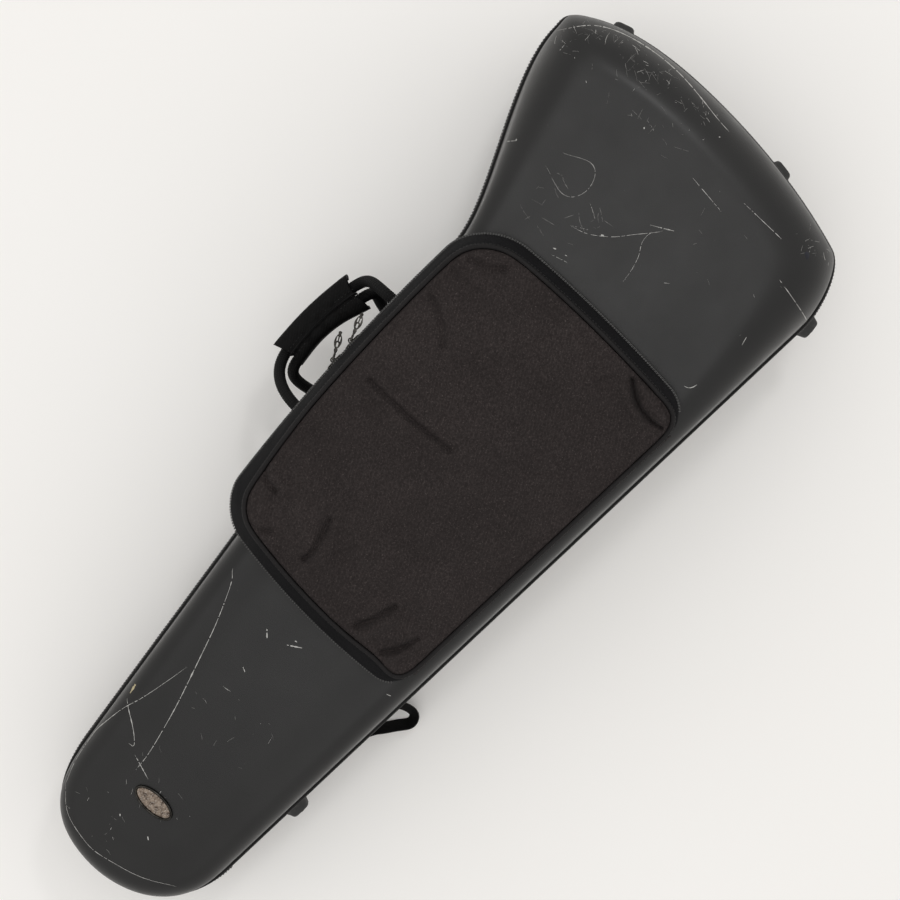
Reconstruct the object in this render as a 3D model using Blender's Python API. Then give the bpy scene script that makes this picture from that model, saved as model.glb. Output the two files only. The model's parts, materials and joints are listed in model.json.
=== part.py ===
"""Shaped trombone case: two moulded half shells closed by a zip, with a music pocket on the lid.

Metres, +Z up. The case lies on its back, on its two shoulder straps. Its pieces are laid out in
the frame of the rim, the plane where the shells meet: x runs from the narrow end to the bell
end, y from the straight hinge side to the handle side, z out through the lid. The back shell
is deeper at the bell end, so the rim leans by a few degrees once the back lies flat.
"""

import math

import bmesh
import bpy
from mathutils import Matrix, Vector
from mathutils.geometry import interpolate_bezier

# Outline of the rim, seen from the lid side
CASE_LENGTH = 0.9635
BELL_WIDTH = 0.3745
TAPER_START_X = 0.086
TAPER_START_WIDTH = 0.193
TAPER_END_WIDTH = 0.2805
WAIST_LENGTH = 0.105
WAIST_RISE = 0.0135
FLARE_LENGTH = 0.2005
SHOULDER_SETBACK = 0.063
BELL_CORNER_SETBACK = 0.031
BELL_CORNER_DROP = 0.0205
BELL_CROWN_Y = 0.191
HINGE_CORNER_SETBACK = 0.019
HINGE_CORNER_Y = 0.036
HINGE_BELL_SETBACK = 0.0935
HINGE_HEEL_X = 0.093
HEEL_TIP_DROP = 0.092
SPINE_HEEL_X = 0.105
SPINE_HEEL_DROP = 0.093
SPINE_BELL_SETBACK = 0.165

# Shells
WALL = 0.003
BACK_DEPTH_BELL = 0.150
BACK_DEPTH_HEEL = 0.075
FRONT_DEPTH_BELL = 0.115
FRONT_DEPTH_HEEL = 0.055
EDGE_RADIUS_SIDE = 0.021
EDGE_RADIUS_BELL = 0.056
EDGE_SWELL_SETBACK = 0.245
EDGE_SWELL_LENGTH = 0.210
DRAFT = math.radians(6.0)
FRONT_CROWN = 0.003
FIT_GAP = 0.0003

# Main zip, hinge tape and edge trim, round the rim
TAPE_THICKNESS = 0.0012
TAPE_HEIGHT = 0.012
TEETH_REACH = 0.0030
TEETH_HEIGHT = 0.0030
TRIM_HEIGHT = 0.006
TRIM_REACH = 0.0026
HINGE_THICKNESS = 0.0018

# Zip sliders and their pulls
SLIDER_LENGTH = 0.017
SLIDER_TOP = 0.0055
SLIDER_BOTTOM = 0.0070
SLIDER_PLATE = 0.0016
SLIDER_RUNNING_GAP = 0.0005
SLIDER_HANDLE_REACH = 0.136
SLIDER_PITCH = 0.026
BRIDGE_RADIUS = 0.0015
BRIDGE_THICKNESS = 0.0013
BRIDGE_WIDTH = 0.0022
BAR_HEIGHT = 0.0012
PULL_LENGTH = 0.028
PULL_WIDTH = 0.007
PULL_THICKNESS = 0.0014

# Feet
FOOT_LENGTH = 0.030
FOOT_HEIGHT = 0.024
FOOT_REACH = 0.0165
FOOT_TAPER_SHARE = 0.62
FOOT_DROP = 0.034
FOOT_BEVEL = 0.003
FOOT_CORNER_SETBACK = 0.0825
FOOT_STRAIGHT_HEEL_X = 0.176
FOOT_BELL_HINGE_Y = 0.1245
FOOT_BELL_HANDLE_DROP = 0.0455

# Handle: one padded loop on each shell, gathered in a stitched grip
LOOP_RADIUS = 0.0058
HANDLE_SETBACK = 0.056
FRONT_LOOP_SPAN = 0.138
REAR_LOOP_SPAN = 0.106
LOOP_ANCHOR_Z = 0.036
LOOP_GRIP_Z = 0.0030
LOOP_GRIP_SPREAD = 0.0068
GRIP_STANDOFF = 0.058
GRIP_LENGTH = 0.089
GRIP_BOW = 0.004
GRIP_HALF_WIDTH = 0.0205
GRIP_TOP = 0.0165
GRIP_SKIRT = 0.011
GRIP_SKIN = 0.0026
GRIP_WEB = 0.0014
LOOP_SHOULDER = 0.024
ANCHOR_LENGTH = 0.026
ANCHOR_HEIGHT = 0.020
ANCHOR_THICKNESS = 0.0030
ANCHOR_BEVEL = 0.0010

# Badge, left bare
BADGE_X = 0.102
BADGE_Y = 0.100
BADGE_TURN = math.radians(4.3)
BADGE_LENGTH = 0.046
BADGE_WIDTH = 0.0215
BADGE_HEIGHT = 0.0026
BADGE_RIM = 0.0024
BADGE_PLATE_HEIGHT = 0.0016

# Music pocket on the lid
POCKET_LENGTH = 0.384
POCKET_BELL_SETBACK = 0.2247
POCKET_HINGE_Y = 0.020
POCKET_HEEL_WIDTH = 0.2438
POCKET_BELL_WIDTH = 0.2660
POCKET_BELL_HINGE_CORNER = 0.028
POCKET_BELL_HANDLE_CORNER = 0.048
POCKET_HEEL_HANDLE_CORNER = 0.036
POCKET_HEEL_HINGE_CORNER = 0.024
POCKET_BELL_BOW = 0.0075
POCKET_BELL_SLANT = 0.0115
POCKET_HEEL_BOW = 0.0110
POCKET_SIDE_BOW = 0.0095
POCKET_BASE = 0.0022
POCKET_CHAIN = 0.0030
POCKET_CHAIN_WIDTH = 0.0045
POCKET_DEPTH = 0.026
POCKET_WEDGE_REACH = 0.095
POCKET_LEAN_REACH = 0.032
POCKET_FOLD_SHARE = 0.30
POCKET_LEAN = 0.011
POCKET_CLOTH = 0.0018
POCKET_PIPING = 0.0022
POCKET_CROWN = 0.006
PANEL_SWELL_SHARES = (
    (0.000, 0.00),
    (0.055, 0.55),
    (0.155, 0.90),
    (0.290, 1.00),
)
POCKET_SLIDER_REACH = 0.176
POCKET_SLIDER_PITCH = 0.025
POCKET_PULL_ANGLE_A = math.radians(27.0)
POCKET_PULL_ANGLE_B = math.radians(19.0)

# Padding inside
LINING_DROP = 0.005
BELL_MOUTH_SETBACK = 0.050
BELL_MOUTH_DROP = 0.143
BELL_AXIS_DROP = 0.015
BELL_AXIS_ANGLE = math.radians(10.3)
BELL_MOUTH_RADIUS = 0.114
BELL_WELL_LENGTH = 0.360
BELL_NECK_RADIUS = 0.027
BELL_FLARE_SHARES = (
    (0.00, 1.000),
    (0.05, 0.860),
    (0.13, 0.640),
    (0.24, 0.430),
    (0.38, 0.250),
    (0.56, 0.110),
    (0.78, 0.030),
    (1.00, 0.000),
)
BOW_BAY_START = 0.260
BOW_BAY_END = 0.620
BOW_BAY_INNER = 0.012
BOW_BAY_OUTER = 0.082
BOW_BAY_DEPTH = 0.046
BOW_BAY_CORNER = 0.030
SLIDE_BAY_HEEL_X = 0.085
SLIDE_BAY_SETBACK = 0.080
SLIDE_BAY_Y = 0.016
SLIDE_BAY_WIDTH = 0.086
SLIDE_BAY_DEPTH = 0.050
SLIDE_BAY_CORNER = 0.014
ACCESSORY_BAY_HEEL_X = 0.080
ACCESSORY_BAY_BELL_X = 0.262
ACCESSORY_BAY_Y = 0.114
ACCESSORY_BAY_WIDTH = 0.056
ACCESSORY_BAY_DEPTH = 0.040
PADDING_HEEL_RIB = 0.022
PADDING_BELL_SETBACK = 0.295
MOUTHPIECE_BLOCK_LENGTH = 0.052
MOUTHPIECE_BLOCK_HEIGHT = 0.034
MOUTHPIECE_RIM_RADIUS = 0.0200
MOUTHPIECE_CUP_DEPTH = 0.022
HOLD_STRAP_WIDTH = 0.025
HOLD_STRAP_THICKNESS = 0.0024
HOLD_STRAP_OVERLAP = 0.009
SLIDE_STRAP_HEEL_X = 0.240
SLIDE_STRAP_BELL_X = 0.640
BELL_STRAP_STATION = 0.245
BELL_STRAP_HALF_LENGTH = 0.046

# Shoulder straps, folded flat under the back
STRAP_THICKNESS = 0.0055
STRAP_WIDTH = 0.055
STRAP_END_WIDTH = 0.030
STRAP_HEEL_X = 0.350
STRAP_BELL_SETBACK = 0.205
STRAP_HEEL_YS = (0.070, 0.166)
STRAP_BELL_YS = (0.105, 0.205)
PATCH_LENGTH = 0.045
PATCH_THICKNESS = 0.0030
LOCK_LENGTH = 0.022
LOCK_WIDTH = 0.036
LOCK_THICKNESS = 0.0045
LOCK_BAR = 0.0048
WEBBING_WIDTH = 0.025
WEBBING_THICKNESS = 0.0016
WEBBING_LENGTH = 0.060
TAIL_X = 0.304
TAIL_REACH = 0.028
TAIL_ROOT_Y = 0.030
TAIL_THICKNESS = 0.0036

# Places that follow from the sizes above
SHOULDER_X = CASE_LENGTH - SHOULDER_SETBACK
FLARE_FOOT_X = SHOULDER_X - FLARE_LENGTH
FLARE_FOOT_WIDTH = TAPER_END_WIDTH + WAIST_RISE
TAPER_END_X = FLARE_FOOT_X - WAIST_LENGTH
BELL_CORNER_X = CASE_LENGTH - BELL_CORNER_SETBACK
BELL_CORNER_Y = BELL_WIDTH - BELL_CORNER_DROP
HINGE_CORNER_X = CASE_LENGTH - HINGE_CORNER_SETBACK
HINGE_BELL_X = CASE_LENGTH - HINGE_BELL_SETBACK
HEEL_TIP_Y = TAPER_START_WIDTH - HEEL_TIP_DROP
SPINE_HEEL = (SPINE_HEEL_X, TAPER_START_WIDTH - SPINE_HEEL_DROP)
SPINE_BELL = (CASE_LENGTH - SPINE_BELL_SETBACK, BELL_CROWN_Y)
HANDLE_X = TAPER_END_X - HANDLE_SETBACK
SLIDER_A_X = HANDLE_X - SLIDER_HANDLE_REACH
POCKET_BELL_X = CASE_LENGTH - POCKET_BELL_SETBACK
POCKET_HEEL_X = POCKET_BELL_X - POCKET_LENGTH
POCKET_SLIDER_A_X = POCKET_HEEL_X + POCKET_SLIDER_REACH
BELL_MOUTH_X = CASE_LENGTH - BELL_MOUTH_SETBACK
BELL_MOUTH_Y = BELL_WIDTH - BELL_MOUTH_DROP
SLIDE_BAY_BELL_X = CASE_LENGTH - SLIDE_BAY_SETBACK
PADDING_SEAM_Y = (SLIDE_BAY_Y + SLIDE_BAY_WIDTH + ACCESSORY_BAY_Y) / 2
PADDING_HEEL_X = ACCESSORY_BAY_BELL_X + PADDING_HEEL_RIB
PADDING_BELL_X = CASE_LENGTH - PADDING_BELL_SETBACK
STRAP_BELL_X = CASE_LENGTH - STRAP_BELL_SETBACK

# How far a cutter runs past the face that it opens, and how far in the crown of a face stands
CUT_OVERRUN = 0.010
CROWN_SHARE = 0.45

# How far past a stretch's end, as a share of its last step, a place still counts as on it
SHARE_SLACK = 1e-4

# How many points each stretch of the rim gets
STRAIGHT_STEPS = 8
CORNER_STEPS = 6
BOW_STEPS = 5
FLARE_STEPS = 7
TAPER_STEPS = 3
HEEL_STEPS = 7


# The frames that the pieces are laid out in

BACK_SLOPE = (BACK_DEPTH_BELL - BACK_DEPTH_HEEL) / CASE_LENGTH
FRONT_SLOPE = (FRONT_DEPTH_BELL - FRONT_DEPTH_HEEL) / CASE_LENGTH
RIM_TILT = math.atan(BACK_SLOPE)
FACE_TILT = math.atan(FRONT_SLOPE)
FACE = Matrix.Translation((0, 0, FRONT_DEPTH_HEEL + FRONT_CROWN)) @ Matrix.Rotation(-FACE_TILT, 4, "Y")
BACK = Matrix.Translation((0, 0, -BACK_DEPTH_HEEL)) @ Matrix.Rotation(RIM_TILT, 4, "Y")
HINGE_Y = -(FIT_GAP + max(HINGE_THICKNESS, TRIM_REACH) + FIT_GAP)


def clear_scene():
    for item in list(bpy.data.objects):
        bpy.data.objects.remove(item, do_unlink=True)


def new_material(name, colour, roughness, metallic=0.0):
    material = bpy.data.materials.new(name)
    material.use_nodes = True
    shader = material.node_tree.nodes["Principled BSDF"]
    shader.inputs["Base Color"].default_value = (*colour, 1)
    shader.inputs["Roughness"].default_value = roughness
    shader.inputs["Metallic"].default_value = metallic
    material.diffuse_color = (*colour, 1)
    return material


def new_empty(name, place, parent=None, parent_place=Vector((0, 0, 0))):
    """An empty that carries one moving group; `place` is in the frame of the rim."""
    empty = bpy.data.objects.new(name, None)
    empty.empty_display_size = PULL_LENGTH
    empty.location = Vector(place) - parent_place
    empty.parent = parent
    bpy.context.scene.collection.objects.link(empty)
    return empty


class Body:
    """A rigid group of pieces, with its empty on the axis that the group turns or slides along."""

    def __init__(self, name, place, carrier=None):
        self.place = Vector(place)
        parent = carrier.empty if carrier else None
        start = carrier.place if carrier else Vector((0, 0, 0))
        self.empty = new_empty(name, self.place, parent, start)

    def add(self, name, shape, material, frame=None, smooth_angle=35.0):
        """Makes the bmesh a named object of this body, its origin on the body's axis."""
        if frame is not None:
            bmesh.ops.transform(shape, matrix=frame, verts=shape.verts)
        bmesh.ops.translate(shape, vec=-self.place, verts=shape.verts)
        bmesh.ops.recalc_face_normals(shape, faces=shape.faces)
        mesh = bpy.data.meshes.new(name)
        shape.to_mesh(mesh)
        shape.free()
        mesh.shade_smooth()
        mesh.set_sharp_from_angle(angle=math.radians(smooth_angle))
        mesh.materials.append(material)
        item = bpy.data.objects.new(name, mesh)
        item.parent = self.empty
        bpy.context.scene.collection.objects.link(item)
        return item


# Shapes

def loft(rings, cap_start=True, cap_end=True):
    """A closed body through rings of equally many points."""
    shape = bmesh.new()
    grid = [[shape.verts.new(point) for point in ring] for ring in rings]
    count = len(grid[0])
    for lower, upper in zip(grid, grid[1:]):
        for i in range(count):
            j = (i + 1) % count
            shape.faces.new((lower[i], lower[j], upper[j], upper[i]))
    if cap_start:
        shape.faces.new(reversed(grid[0]))
    if cap_end:
        shape.faces.new(grid[-1])
    return shape


def sweep(path, sections, up, closed=False):
    """Carries a section, or one section for each point, along a path.

    A section point is (a, b): a sideways, to the right of the path, and b along `up`.
    """
    path = [Vector(point) for point in path]
    if not isinstance(sections[0][0], (tuple, list)):
        sections = [sections] * len(path)
    rings = []
    for i, point in enumerate(path):
        if closed:
            before, after = path[i - 1], path[(i + 1) % len(path)]
        else:
            before, after = path[max(i - 1, 0)], path[min(i + 1, len(path) - 1)]
        along = (after - before).normalized()
        side = along.cross(Vector(up)).normalized()
        rise = side.cross(along)
        rings.append([point + side * a + rise * b for a, b in sections[i]])
    if closed:
        rings.append(rings[0])
        shape = loft(rings, cap_start=False, cap_end=False)
        bmesh.ops.remove_doubles(shape, verts=shape.verts, dist=FIT_GAP / 100)
        return shape
    return loft(rings)


def box(size, centre=(0, 0, 0), bevel=0.0, segments=2):
    shape = bmesh.new()
    bmesh.ops.create_cube(shape, size=1, matrix=Matrix.Translation(centre) @ Matrix.Diagonal((*size, 1)))
    if bevel:
        bmesh.ops.bevel(
            shape, geom=shape.edges[:], offset=bevel, segments=segments, profile=0.5, affect="EDGES"
        )
    return shape


def prism(outline, low, high):
    """An outline in x and y between two heights."""
    return loft([[(x, y, low) for x, y in outline], [(x, y, high) for x, y in outline]])


def circle(radius, count, squash=1.0, phase=0.0):
    turn = 2 * math.pi / count
    return [
        (radius * math.cos(phase + turn * i), radius * squash * math.sin(phase + turn * i))
        for i in range(count)
    ]


def rounded_rectangle(low, high, radius, steps=4):
    """Corner points counter-clockwise, from (x, y) to (x, y)."""
    centres = (
        (high[0] - radius, high[1] - radius),
        (low[0] + radius, high[1] - radius),
        (low[0] + radius, low[1] + radius),
        (high[0] - radius, low[1] + radius),
    )
    points = []
    for quarter, (x, y) in enumerate(centres):
        for step in range(steps + 1):
            angle = math.pi / 2 * (quarter + step / steps)
            points.append((x + radius * math.cos(angle), y + radius * math.sin(angle)))
    return points


def bezier_path(knots, steps):
    """Points through knots of (place, way in, way out), each way a vector."""
    points = []
    for (start, _, leave), (end, arrive, _), count in zip(knots, knots[1:], steps):
        points += interpolate_bezier(start, start + leave, end - arrive, end, count + 1)[:-1]
    return points + [Vector(knots[-1][0])]


# The rim's outline

def heading(x, y, angle, before, after):
    way = Vector((math.cos(math.radians(angle)), math.sin(math.radians(angle)), 0))
    return Vector((x, y, 0)), way * before, way * after


def rim_outline():
    """The rim counter-clockwise from the narrow end of the hinge side, as stretches by name."""
    taper = math.degrees(math.atan2(TAPER_END_WIDTH - TAPER_START_WIDTH, TAPER_END_X - TAPER_START_X))
    side = HINGE_BELL_X - HINGE_HEEL_X
    bow = BELL_CORNER_Y - HINGE_CORNER_Y
    corner = HINGE_CORNER_X - HINGE_BELL_X
    flare = SHOULDER_X - FLARE_FOOT_X
    foot = FLARE_FOOT_X - TAPER_END_X
    heel = TAPER_START_WIDTH - HEEL_TIP_Y
    knots = (
        heading(HINGE_HEEL_X, 0, 0, HINGE_HEEL_X * 0.75, side / 3),
        heading(HINGE_BELL_X, 0, 0, side / 3, corner * 0.38),
        heading(HINGE_CORNER_X, HINGE_CORNER_Y, 75, corner * 0.27, bow * 0.16),
        heading(CASE_LENGTH, BELL_CROWN_Y, 90, bow * 0.16, bow * 0.18),
        heading(BELL_CORNER_X, BELL_CORNER_Y, 121, bow * 0.16, corner * 0.42),
        heading(SHOULDER_X, BELL_WIDTH, 180, corner * 0.14, flare * 0.28),
        heading(FLARE_FOOT_X, FLARE_FOOT_WIDTH, 180 + 11.6, flare * 0.27, foot * 0.28),
        heading(TAPER_END_X, TAPER_END_WIDTH, 180 + taper, foot * 0.40, side / 5),
        heading(TAPER_START_X, TAPER_START_WIDTH, 180 + taper, side / 5, heel * 0.42),
        heading(0, HEEL_TIP_Y, 270, heel * 0.79, heel * 0.42),
        heading(HINGE_HEEL_X, 0, 360, HINGE_HEEL_X * 0.75, side / 3),
    )
    steps = (
        STRAIGHT_STEPS,
        CORNER_STEPS,
        BOW_STEPS,
        BOW_STEPS,
        CORNER_STEPS,
        FLARE_STEPS,
        TAPER_STEPS,
        TAPER_STEPS,
        HEEL_STEPS,
        HEEL_STEPS,
    )
    names = ["hinge", "hinge_corner", "bell", "bell", "shoulder"]
    names += ["flare", "waist", "taper", "heel", "heel"]
    stretches = {}
    for i, (name, count) in enumerate(zip(names, steps)):
        stretches.setdefault(name, []).extend(bezier_path(knots[i : i + 2], (count,))[:-1])
    return stretches


STRETCHES = rim_outline()
RIM = [point for stretch in STRETCHES.values() for point in stretch]
ZIP_PATH = RIM[len(STRETCHES["hinge"]) :] + [RIM[0]]


def rim_point(stretch, axis, value):
    """Where a named stretch of the rim crosses a place along x (0) or y (1), and its outward way."""
    first = next(i for i, point in enumerate(RIM) if point is STRETCHES[stretch][0])
    for i in range(first, first + len(STRETCHES[stretch])):
        start, end = RIM[i], RIM[(i + 1) % len(RIM)]
        share = (value - start[axis]) / (end[axis] - start[axis]) if end[axis] != start[axis] else -1
        if -SHARE_SLACK <= share <= 1 + SHARE_SLACK:
            return start.lerp(end, share), (end - start).cross(Vector((0, 0, 1))).normalized()
    raise ValueError(stretch)


def inward(i):
    """The way from a point of the rim towards the shell's middle, per unit of wall distance."""
    low, high = Vector((*SPINE_HEEL, 0)), Vector((*SPINE_BELL, 0))
    line = high - low
    share = min(max((RIM[i] - low).dot(line) / line.length_squared, 0), 1)
    way = (low + line * share - RIM[i]).normalized()
    normal = (RIM[(i + 1) % len(RIM)] - RIM[i - 1]).cross(Vector((0, 0, -1))).normalized()
    return way / max(way.dot(normal), 0.5), low + line * share


def half_depth(x, heel, bell):
    return heel + (bell - heel) * x / CASE_LENGTH


def edge_radius(x):
    start = CASE_LENGTH - EDGE_SWELL_SETBACK
    share = min(max((x - start) / EDGE_SWELL_LENGTH, 0), 1)
    return EDGE_RADIUS_SIDE + (EDGE_RADIUS_BELL - EDGE_RADIUS_SIDE) * share * share * (3 - 2 * share)


def shell_rings(heel, bell, sign, skin=0.0, start=0.0, arc_steps=4, crown=0.0):
    """Rings from the rim up over the rounded edge to the face, `skin` inside the outer surface."""
    shares = [None] + [step / arc_steps for step in range(arc_steps + 1)]
    rings = []
    for share in shares:
        ring = []
        for i, point in enumerate(RIM):
            way, _ = inward(i)
            depth = half_depth(point.x, heel, bell)
            radius = edge_radius(point.x)
            wall = depth - radius
            angle = math.pi / 2 * (share or 0)
            inset = wall * math.tan(DRAFT) + radius - (radius - skin) * math.cos(angle)
            if share is None:
                inset = skin + start * math.tan(DRAFT)
            spot = point + way * inset
            height = half_depth(spot.x, heel, bell) - radius + (radius - skin) * math.sin(angle)
            ring.append(Vector((spot.x, spot.y, sign * (start if share is None else height))))
        rings.append(ring)
    if crown:
        ring = []
        for i, point in enumerate(rings[-1]):
            _, middle = inward(i)
            spot = point.lerp(Vector((middle.x, middle.y, point.z)), CROWN_SHARE)
            depth = half_depth(spot.x, heel, bell) - skin + crown
            ring.append(Vector((spot.x, spot.y, sign * depth)))
        rings.append(ring)
    return rings


def half_shell(heel, bell, sign, crown):
    """One moulded half: outer skin, lip and inner skin, all one wall thick."""
    outer = shell_rings(heel, bell, sign, start=FIT_GAP, arc_steps=4, crown=crown)
    inner = shell_rings(heel, bell, sign, skin=WALL, start=FIT_GAP, arc_steps=3, crown=crown)
    return loft(outer[::-1] + inner)


def lining_block(heel, bell, sign):
    """The padding that fills a half, before its bays are cut."""
    skin = WALL + FIT_GAP
    rings = shell_rings(heel, bell, sign, skin=skin, start=LINING_DROP, arc_steps=3)
    return loft(rings)


def keep_between(shape, axis, low, high):
    """Cuts a solid square to an axis at one or both places, and closes the cuts."""
    way = Vector([1 if i == axis else 0 for i in range(3)])
    for place, outward in ((low, -way), (high, way)):
        if place is None:
            continue
        parts = shape.verts[:] + shape.edges[:] + shape.faces[:]
        found = bmesh.ops.bisect_plane(
            shape, geom=parts, plane_co=way * place, plane_no=outward, clear_outer=True
        )
        edges = [part for part in found["geom_cut"] if isinstance(part, bmesh.types.BMEdge)]
        bmesh.ops.edgeloop_fill(shape, edges=edges)


# Cutters and Booleans

def add_cutter(body, name, shape, frame=None):
    cutter = body.add(name, shape, MATERIALS["padding"], frame)
    cutter.hide_render = True
    cutter.display_type = "WIRE"
    return cutter


def cut(item, cutters):
    for cutter in cutters:
        step = item.modifiers.new("cut " + cutter.name, "BOOLEAN")
        step.operation = "DIFFERENCE"
        step.solver = "EXACT"
        step.object = cutter


BELL_FRAME = (
    Matrix.Translation((BELL_MOUTH_X, BELL_MOUTH_Y, -BELL_AXIS_DROP))
    @ Matrix.Rotation(math.pi + BELL_AXIS_ANGLE, 4, "Z")
)


def bell_well():
    """A flare turned round the bell's axis, from its mouth to the neck, with a rounded back."""
    rings = []
    spread = BELL_MOUTH_RADIUS - BELL_NECK_RADIUS
    for along, swell in BELL_FLARE_SHARES:
        radius = BELL_NECK_RADIUS + spread * swell
        rings.append([(along * BELL_WELL_LENGTH, a, b) for a, b in circle(radius, 24)])
    return loft(rings)


def bow_bay():
    """The bay of the tuning slide, beside the neck, rounded where the bow lies."""
    low = (BOW_BAY_START, -BOW_BAY_OUTER)
    high = (BOW_BAY_END, BOW_BAY_INNER)
    outline = rounded_rectangle(low, high, BOW_BAY_CORNER)
    return prism(outline, -BOW_BAY_DEPTH + BELL_AXIS_DROP, BELL_AXIS_DROP + CUT_OVERRUN)


def tray(heel_x, bell_x, y, width, depth, corner):
    return prism(rounded_rectangle((heel_x, y), (bell_x, y + width), corner), -depth, CUT_OVERRUN)


# Pieces round the rim

def band_section(reach, low, high, inner=FIT_GAP, bead=0.0, bead_height=0.0, sign=1):
    """A flat band against the wall, leaning with the draft, with a bead along its rim edge."""
    lean = math.tan(DRAFT)
    points = [(inner, low)]
    if bead:
        points += [(inner + bead, low), (inner + bead, low + bead_height)]
        points += [(inner + reach, low + bead_height + reach / 2)]
    else:
        points += [(inner + reach, low)]
    points += [(inner + reach, high), (inner, high)]
    return [(a - b * lean, sign * b) for a, b in points]


def rim_band(path, section, closed):
    return sweep(path, section, (0, 0, 1), closed)


def zip_half(sign):
    section = band_section(
        TAPE_THICKNESS, FIT_GAP, TAPE_HEIGHT, bead=TEETH_REACH, bead_height=TEETH_HEIGHT, sign=sign
    )
    return rim_band(ZIP_PATH, section, False)


def hinge_half(sign):
    start = Vector((HINGE_HEEL_X + FIT_GAP * 2, 0, 0))
    end = Vector((HINGE_BELL_X - FIT_GAP * 2, 0, 0))
    section = band_section(HINGE_THICKNESS, FIT_GAP, TAPE_HEIGHT, sign=sign)
    return rim_band([start, start.lerp(end, 0.5), end], section, False)


def trim(sign):
    """A rounded bead that covers the tape's sewn edge all the way round."""
    low = TAPE_HEIGHT + FIT_GAP
    high = low + TRIM_HEIGHT
    lean = math.tan(DRAFT)
    soft = TRIM_HEIGHT * 0.25
    points = [
        (FIT_GAP, low),
        (FIT_GAP + TRIM_REACH * 0.7, low),
        (FIT_GAP + TRIM_REACH, low + soft),
        (FIT_GAP + TRIM_REACH, high - soft),
        (FIT_GAP + TRIM_REACH * 0.6, high),
        (FIT_GAP, high),
    ]
    return rim_band(RIM, [(a - b * lean, sign * b) for a, b in points], True)


def wall_frame(spot, outward, z):
    """A frame on the outer wall: x along the rim, y out of the wall, z up it."""
    sign = 1 if z >= 0 else -1
    tip = Matrix.Rotation(sign * DRAFT, 4, "X")
    turn = Matrix.Rotation(math.atan2(outward.y, outward.x) - math.pi / 2, 4, "Z")
    place = spot - outward * abs(z) * math.tan(DRAFT)
    return Matrix.Translation((place.x, place.y, z)) @ turn @ tip


def foot():
    """A tapered rubber block, its base against the wall."""
    rings = []
    for share, reach in ((1.0, FIT_GAP), (1.0, FOOT_REACH * 0.25), (FOOT_TAPER_SHARE, FOOT_REACH)):
        half_x, half_z = FOOT_LENGTH / 2 * share, FOOT_HEIGHT / 2 * share
        outline = rounded_rectangle((-half_x, -half_z), (half_x, half_z), FOOT_BEVEL, 2)
        rings.append([(a, reach, b) for a, b in outline])
    return loft(rings)


def slider_body(reach, top, bottom, tape_reach):
    """The slider's face plate over both chains, with a flange behind the fixed chain's edge.

    It is open towards the half that lifts away. x runs along the zip, y out of it.
    """
    plate = reach + SLIDER_RUNNING_GAP
    points = [
        (plate, top),
        (plate + SLIDER_PLATE, top),
        (plate + SLIDER_PLATE, bottom),
        (tape_reach, bottom),
        (tape_reach, bottom + SLIDER_PLATE),
        (plate, bottom + SLIDER_PLATE),
    ]
    half = SLIDER_LENGTH / 2
    return loft([[(x, y, z) for y, z in points] for x in (-half, half)])


def slider_bridge():
    """The arch that traps the pull's bar, its middle on the bar's axis."""
    outer, inner = BRIDGE_RADIUS + BRIDGE_THICKNESS, BRIDGE_RADIUS
    foot_depth = BAR_HEIGHT + SLIDER_PLATE / 2
    steps = 6
    rise = [math.pi * step / steps for step in range(steps + 1)]
    points = [(outer, -foot_depth)]
    points += [(outer * math.cos(a), outer * math.sin(a)) for a in rise]
    points += [(-outer, -foot_depth), (-inner, -foot_depth)]
    points += [(inner * math.cos(a), inner * math.sin(a)) for a in reversed(rise)]
    points += [(inner, -foot_depth)]
    return prism(points, -BRIDGE_WIDTH / 2, BRIDGE_WIDTH / 2)


def pull_plate():
    """A flat pull along x from its bar, which lies on the axis; its window takes the bridge."""
    half = PULL_WIDTH / 2
    eye = half * 0.88
    neck = half * 0.62
    window = BRIDGE_RADIUS + BRIDGE_THICKNESS + PULL_THICKNESS
    points = [
        (-PULL_THICKNESS / 2, -eye),
        (window + PULL_THICKNESS, -eye),
        (window + 2 * PULL_THICKNESS, -neck),
        (PULL_LENGTH * 0.5, -neck),
        (PULL_LENGTH * 0.6, -half),
        (PULL_LENGTH * 0.92, -half),
        (PULL_LENGTH, -half * 0.5),
    ]
    points += [(x, -z) for x, z in reversed(points)]
    half_thick = PULL_THICKNESS / 2
    return loft([[(x, y, z) for x, z in points] for y in (-half_thick, half_thick)])


def pull_window():
    start = PULL_THICKNESS / 2
    end = BRIDGE_RADIUS + BRIDGE_THICKNESS + PULL_THICKNESS / 2
    wide = BRIDGE_WIDTH + 2 * SLIDER_RUNNING_GAP
    return box((end - start, PULL_THICKNESS * 3, wide), ((start + end) / 2, 0, 0))


MATERIALS = {}


def make_materials():
    MATERIALS.update(
        shell=new_material("charcoal shell", (0.035, 0.035, 0.038), 0.42),
        trim=new_material("black edge trim", (0.012, 0.012, 0.012), 0.5),
        tape=new_material("zip tape", (0.012, 0.011, 0.011), 0.85),
        cloth=new_material("pocket cloth", (0.022, 0.018, 0.017), 0.9),
        piping=new_material("pocket piping", (0.014, 0.013, 0.013), 0.6),
        webbing=new_material("black webbing", (0.012, 0.012, 0.013), 0.8),
        grip=new_material("grip cloth", (0.010, 0.010, 0.011), 0.6),
        rubber=new_material("black rubber", (0.015, 0.015, 0.015), 0.7),
        nickel=new_material("dark nickel", (0.16, 0.15, 0.14), 0.32, 1.0),
        silver=new_material("antique silver", (0.55, 0.53, 0.50), 0.28, 1.0),
        bronze=new_material("mottled bronze", (0.20, 0.17, 0.15), 0.5, 0.6),
        padding=new_material("plush padding", (0.020, 0.020, 0.024), 0.95),
        plastic=new_material("black buckle plastic", (0.02, 0.02, 0.02), 0.4),
    )


# The back half, which carries everything else

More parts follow.
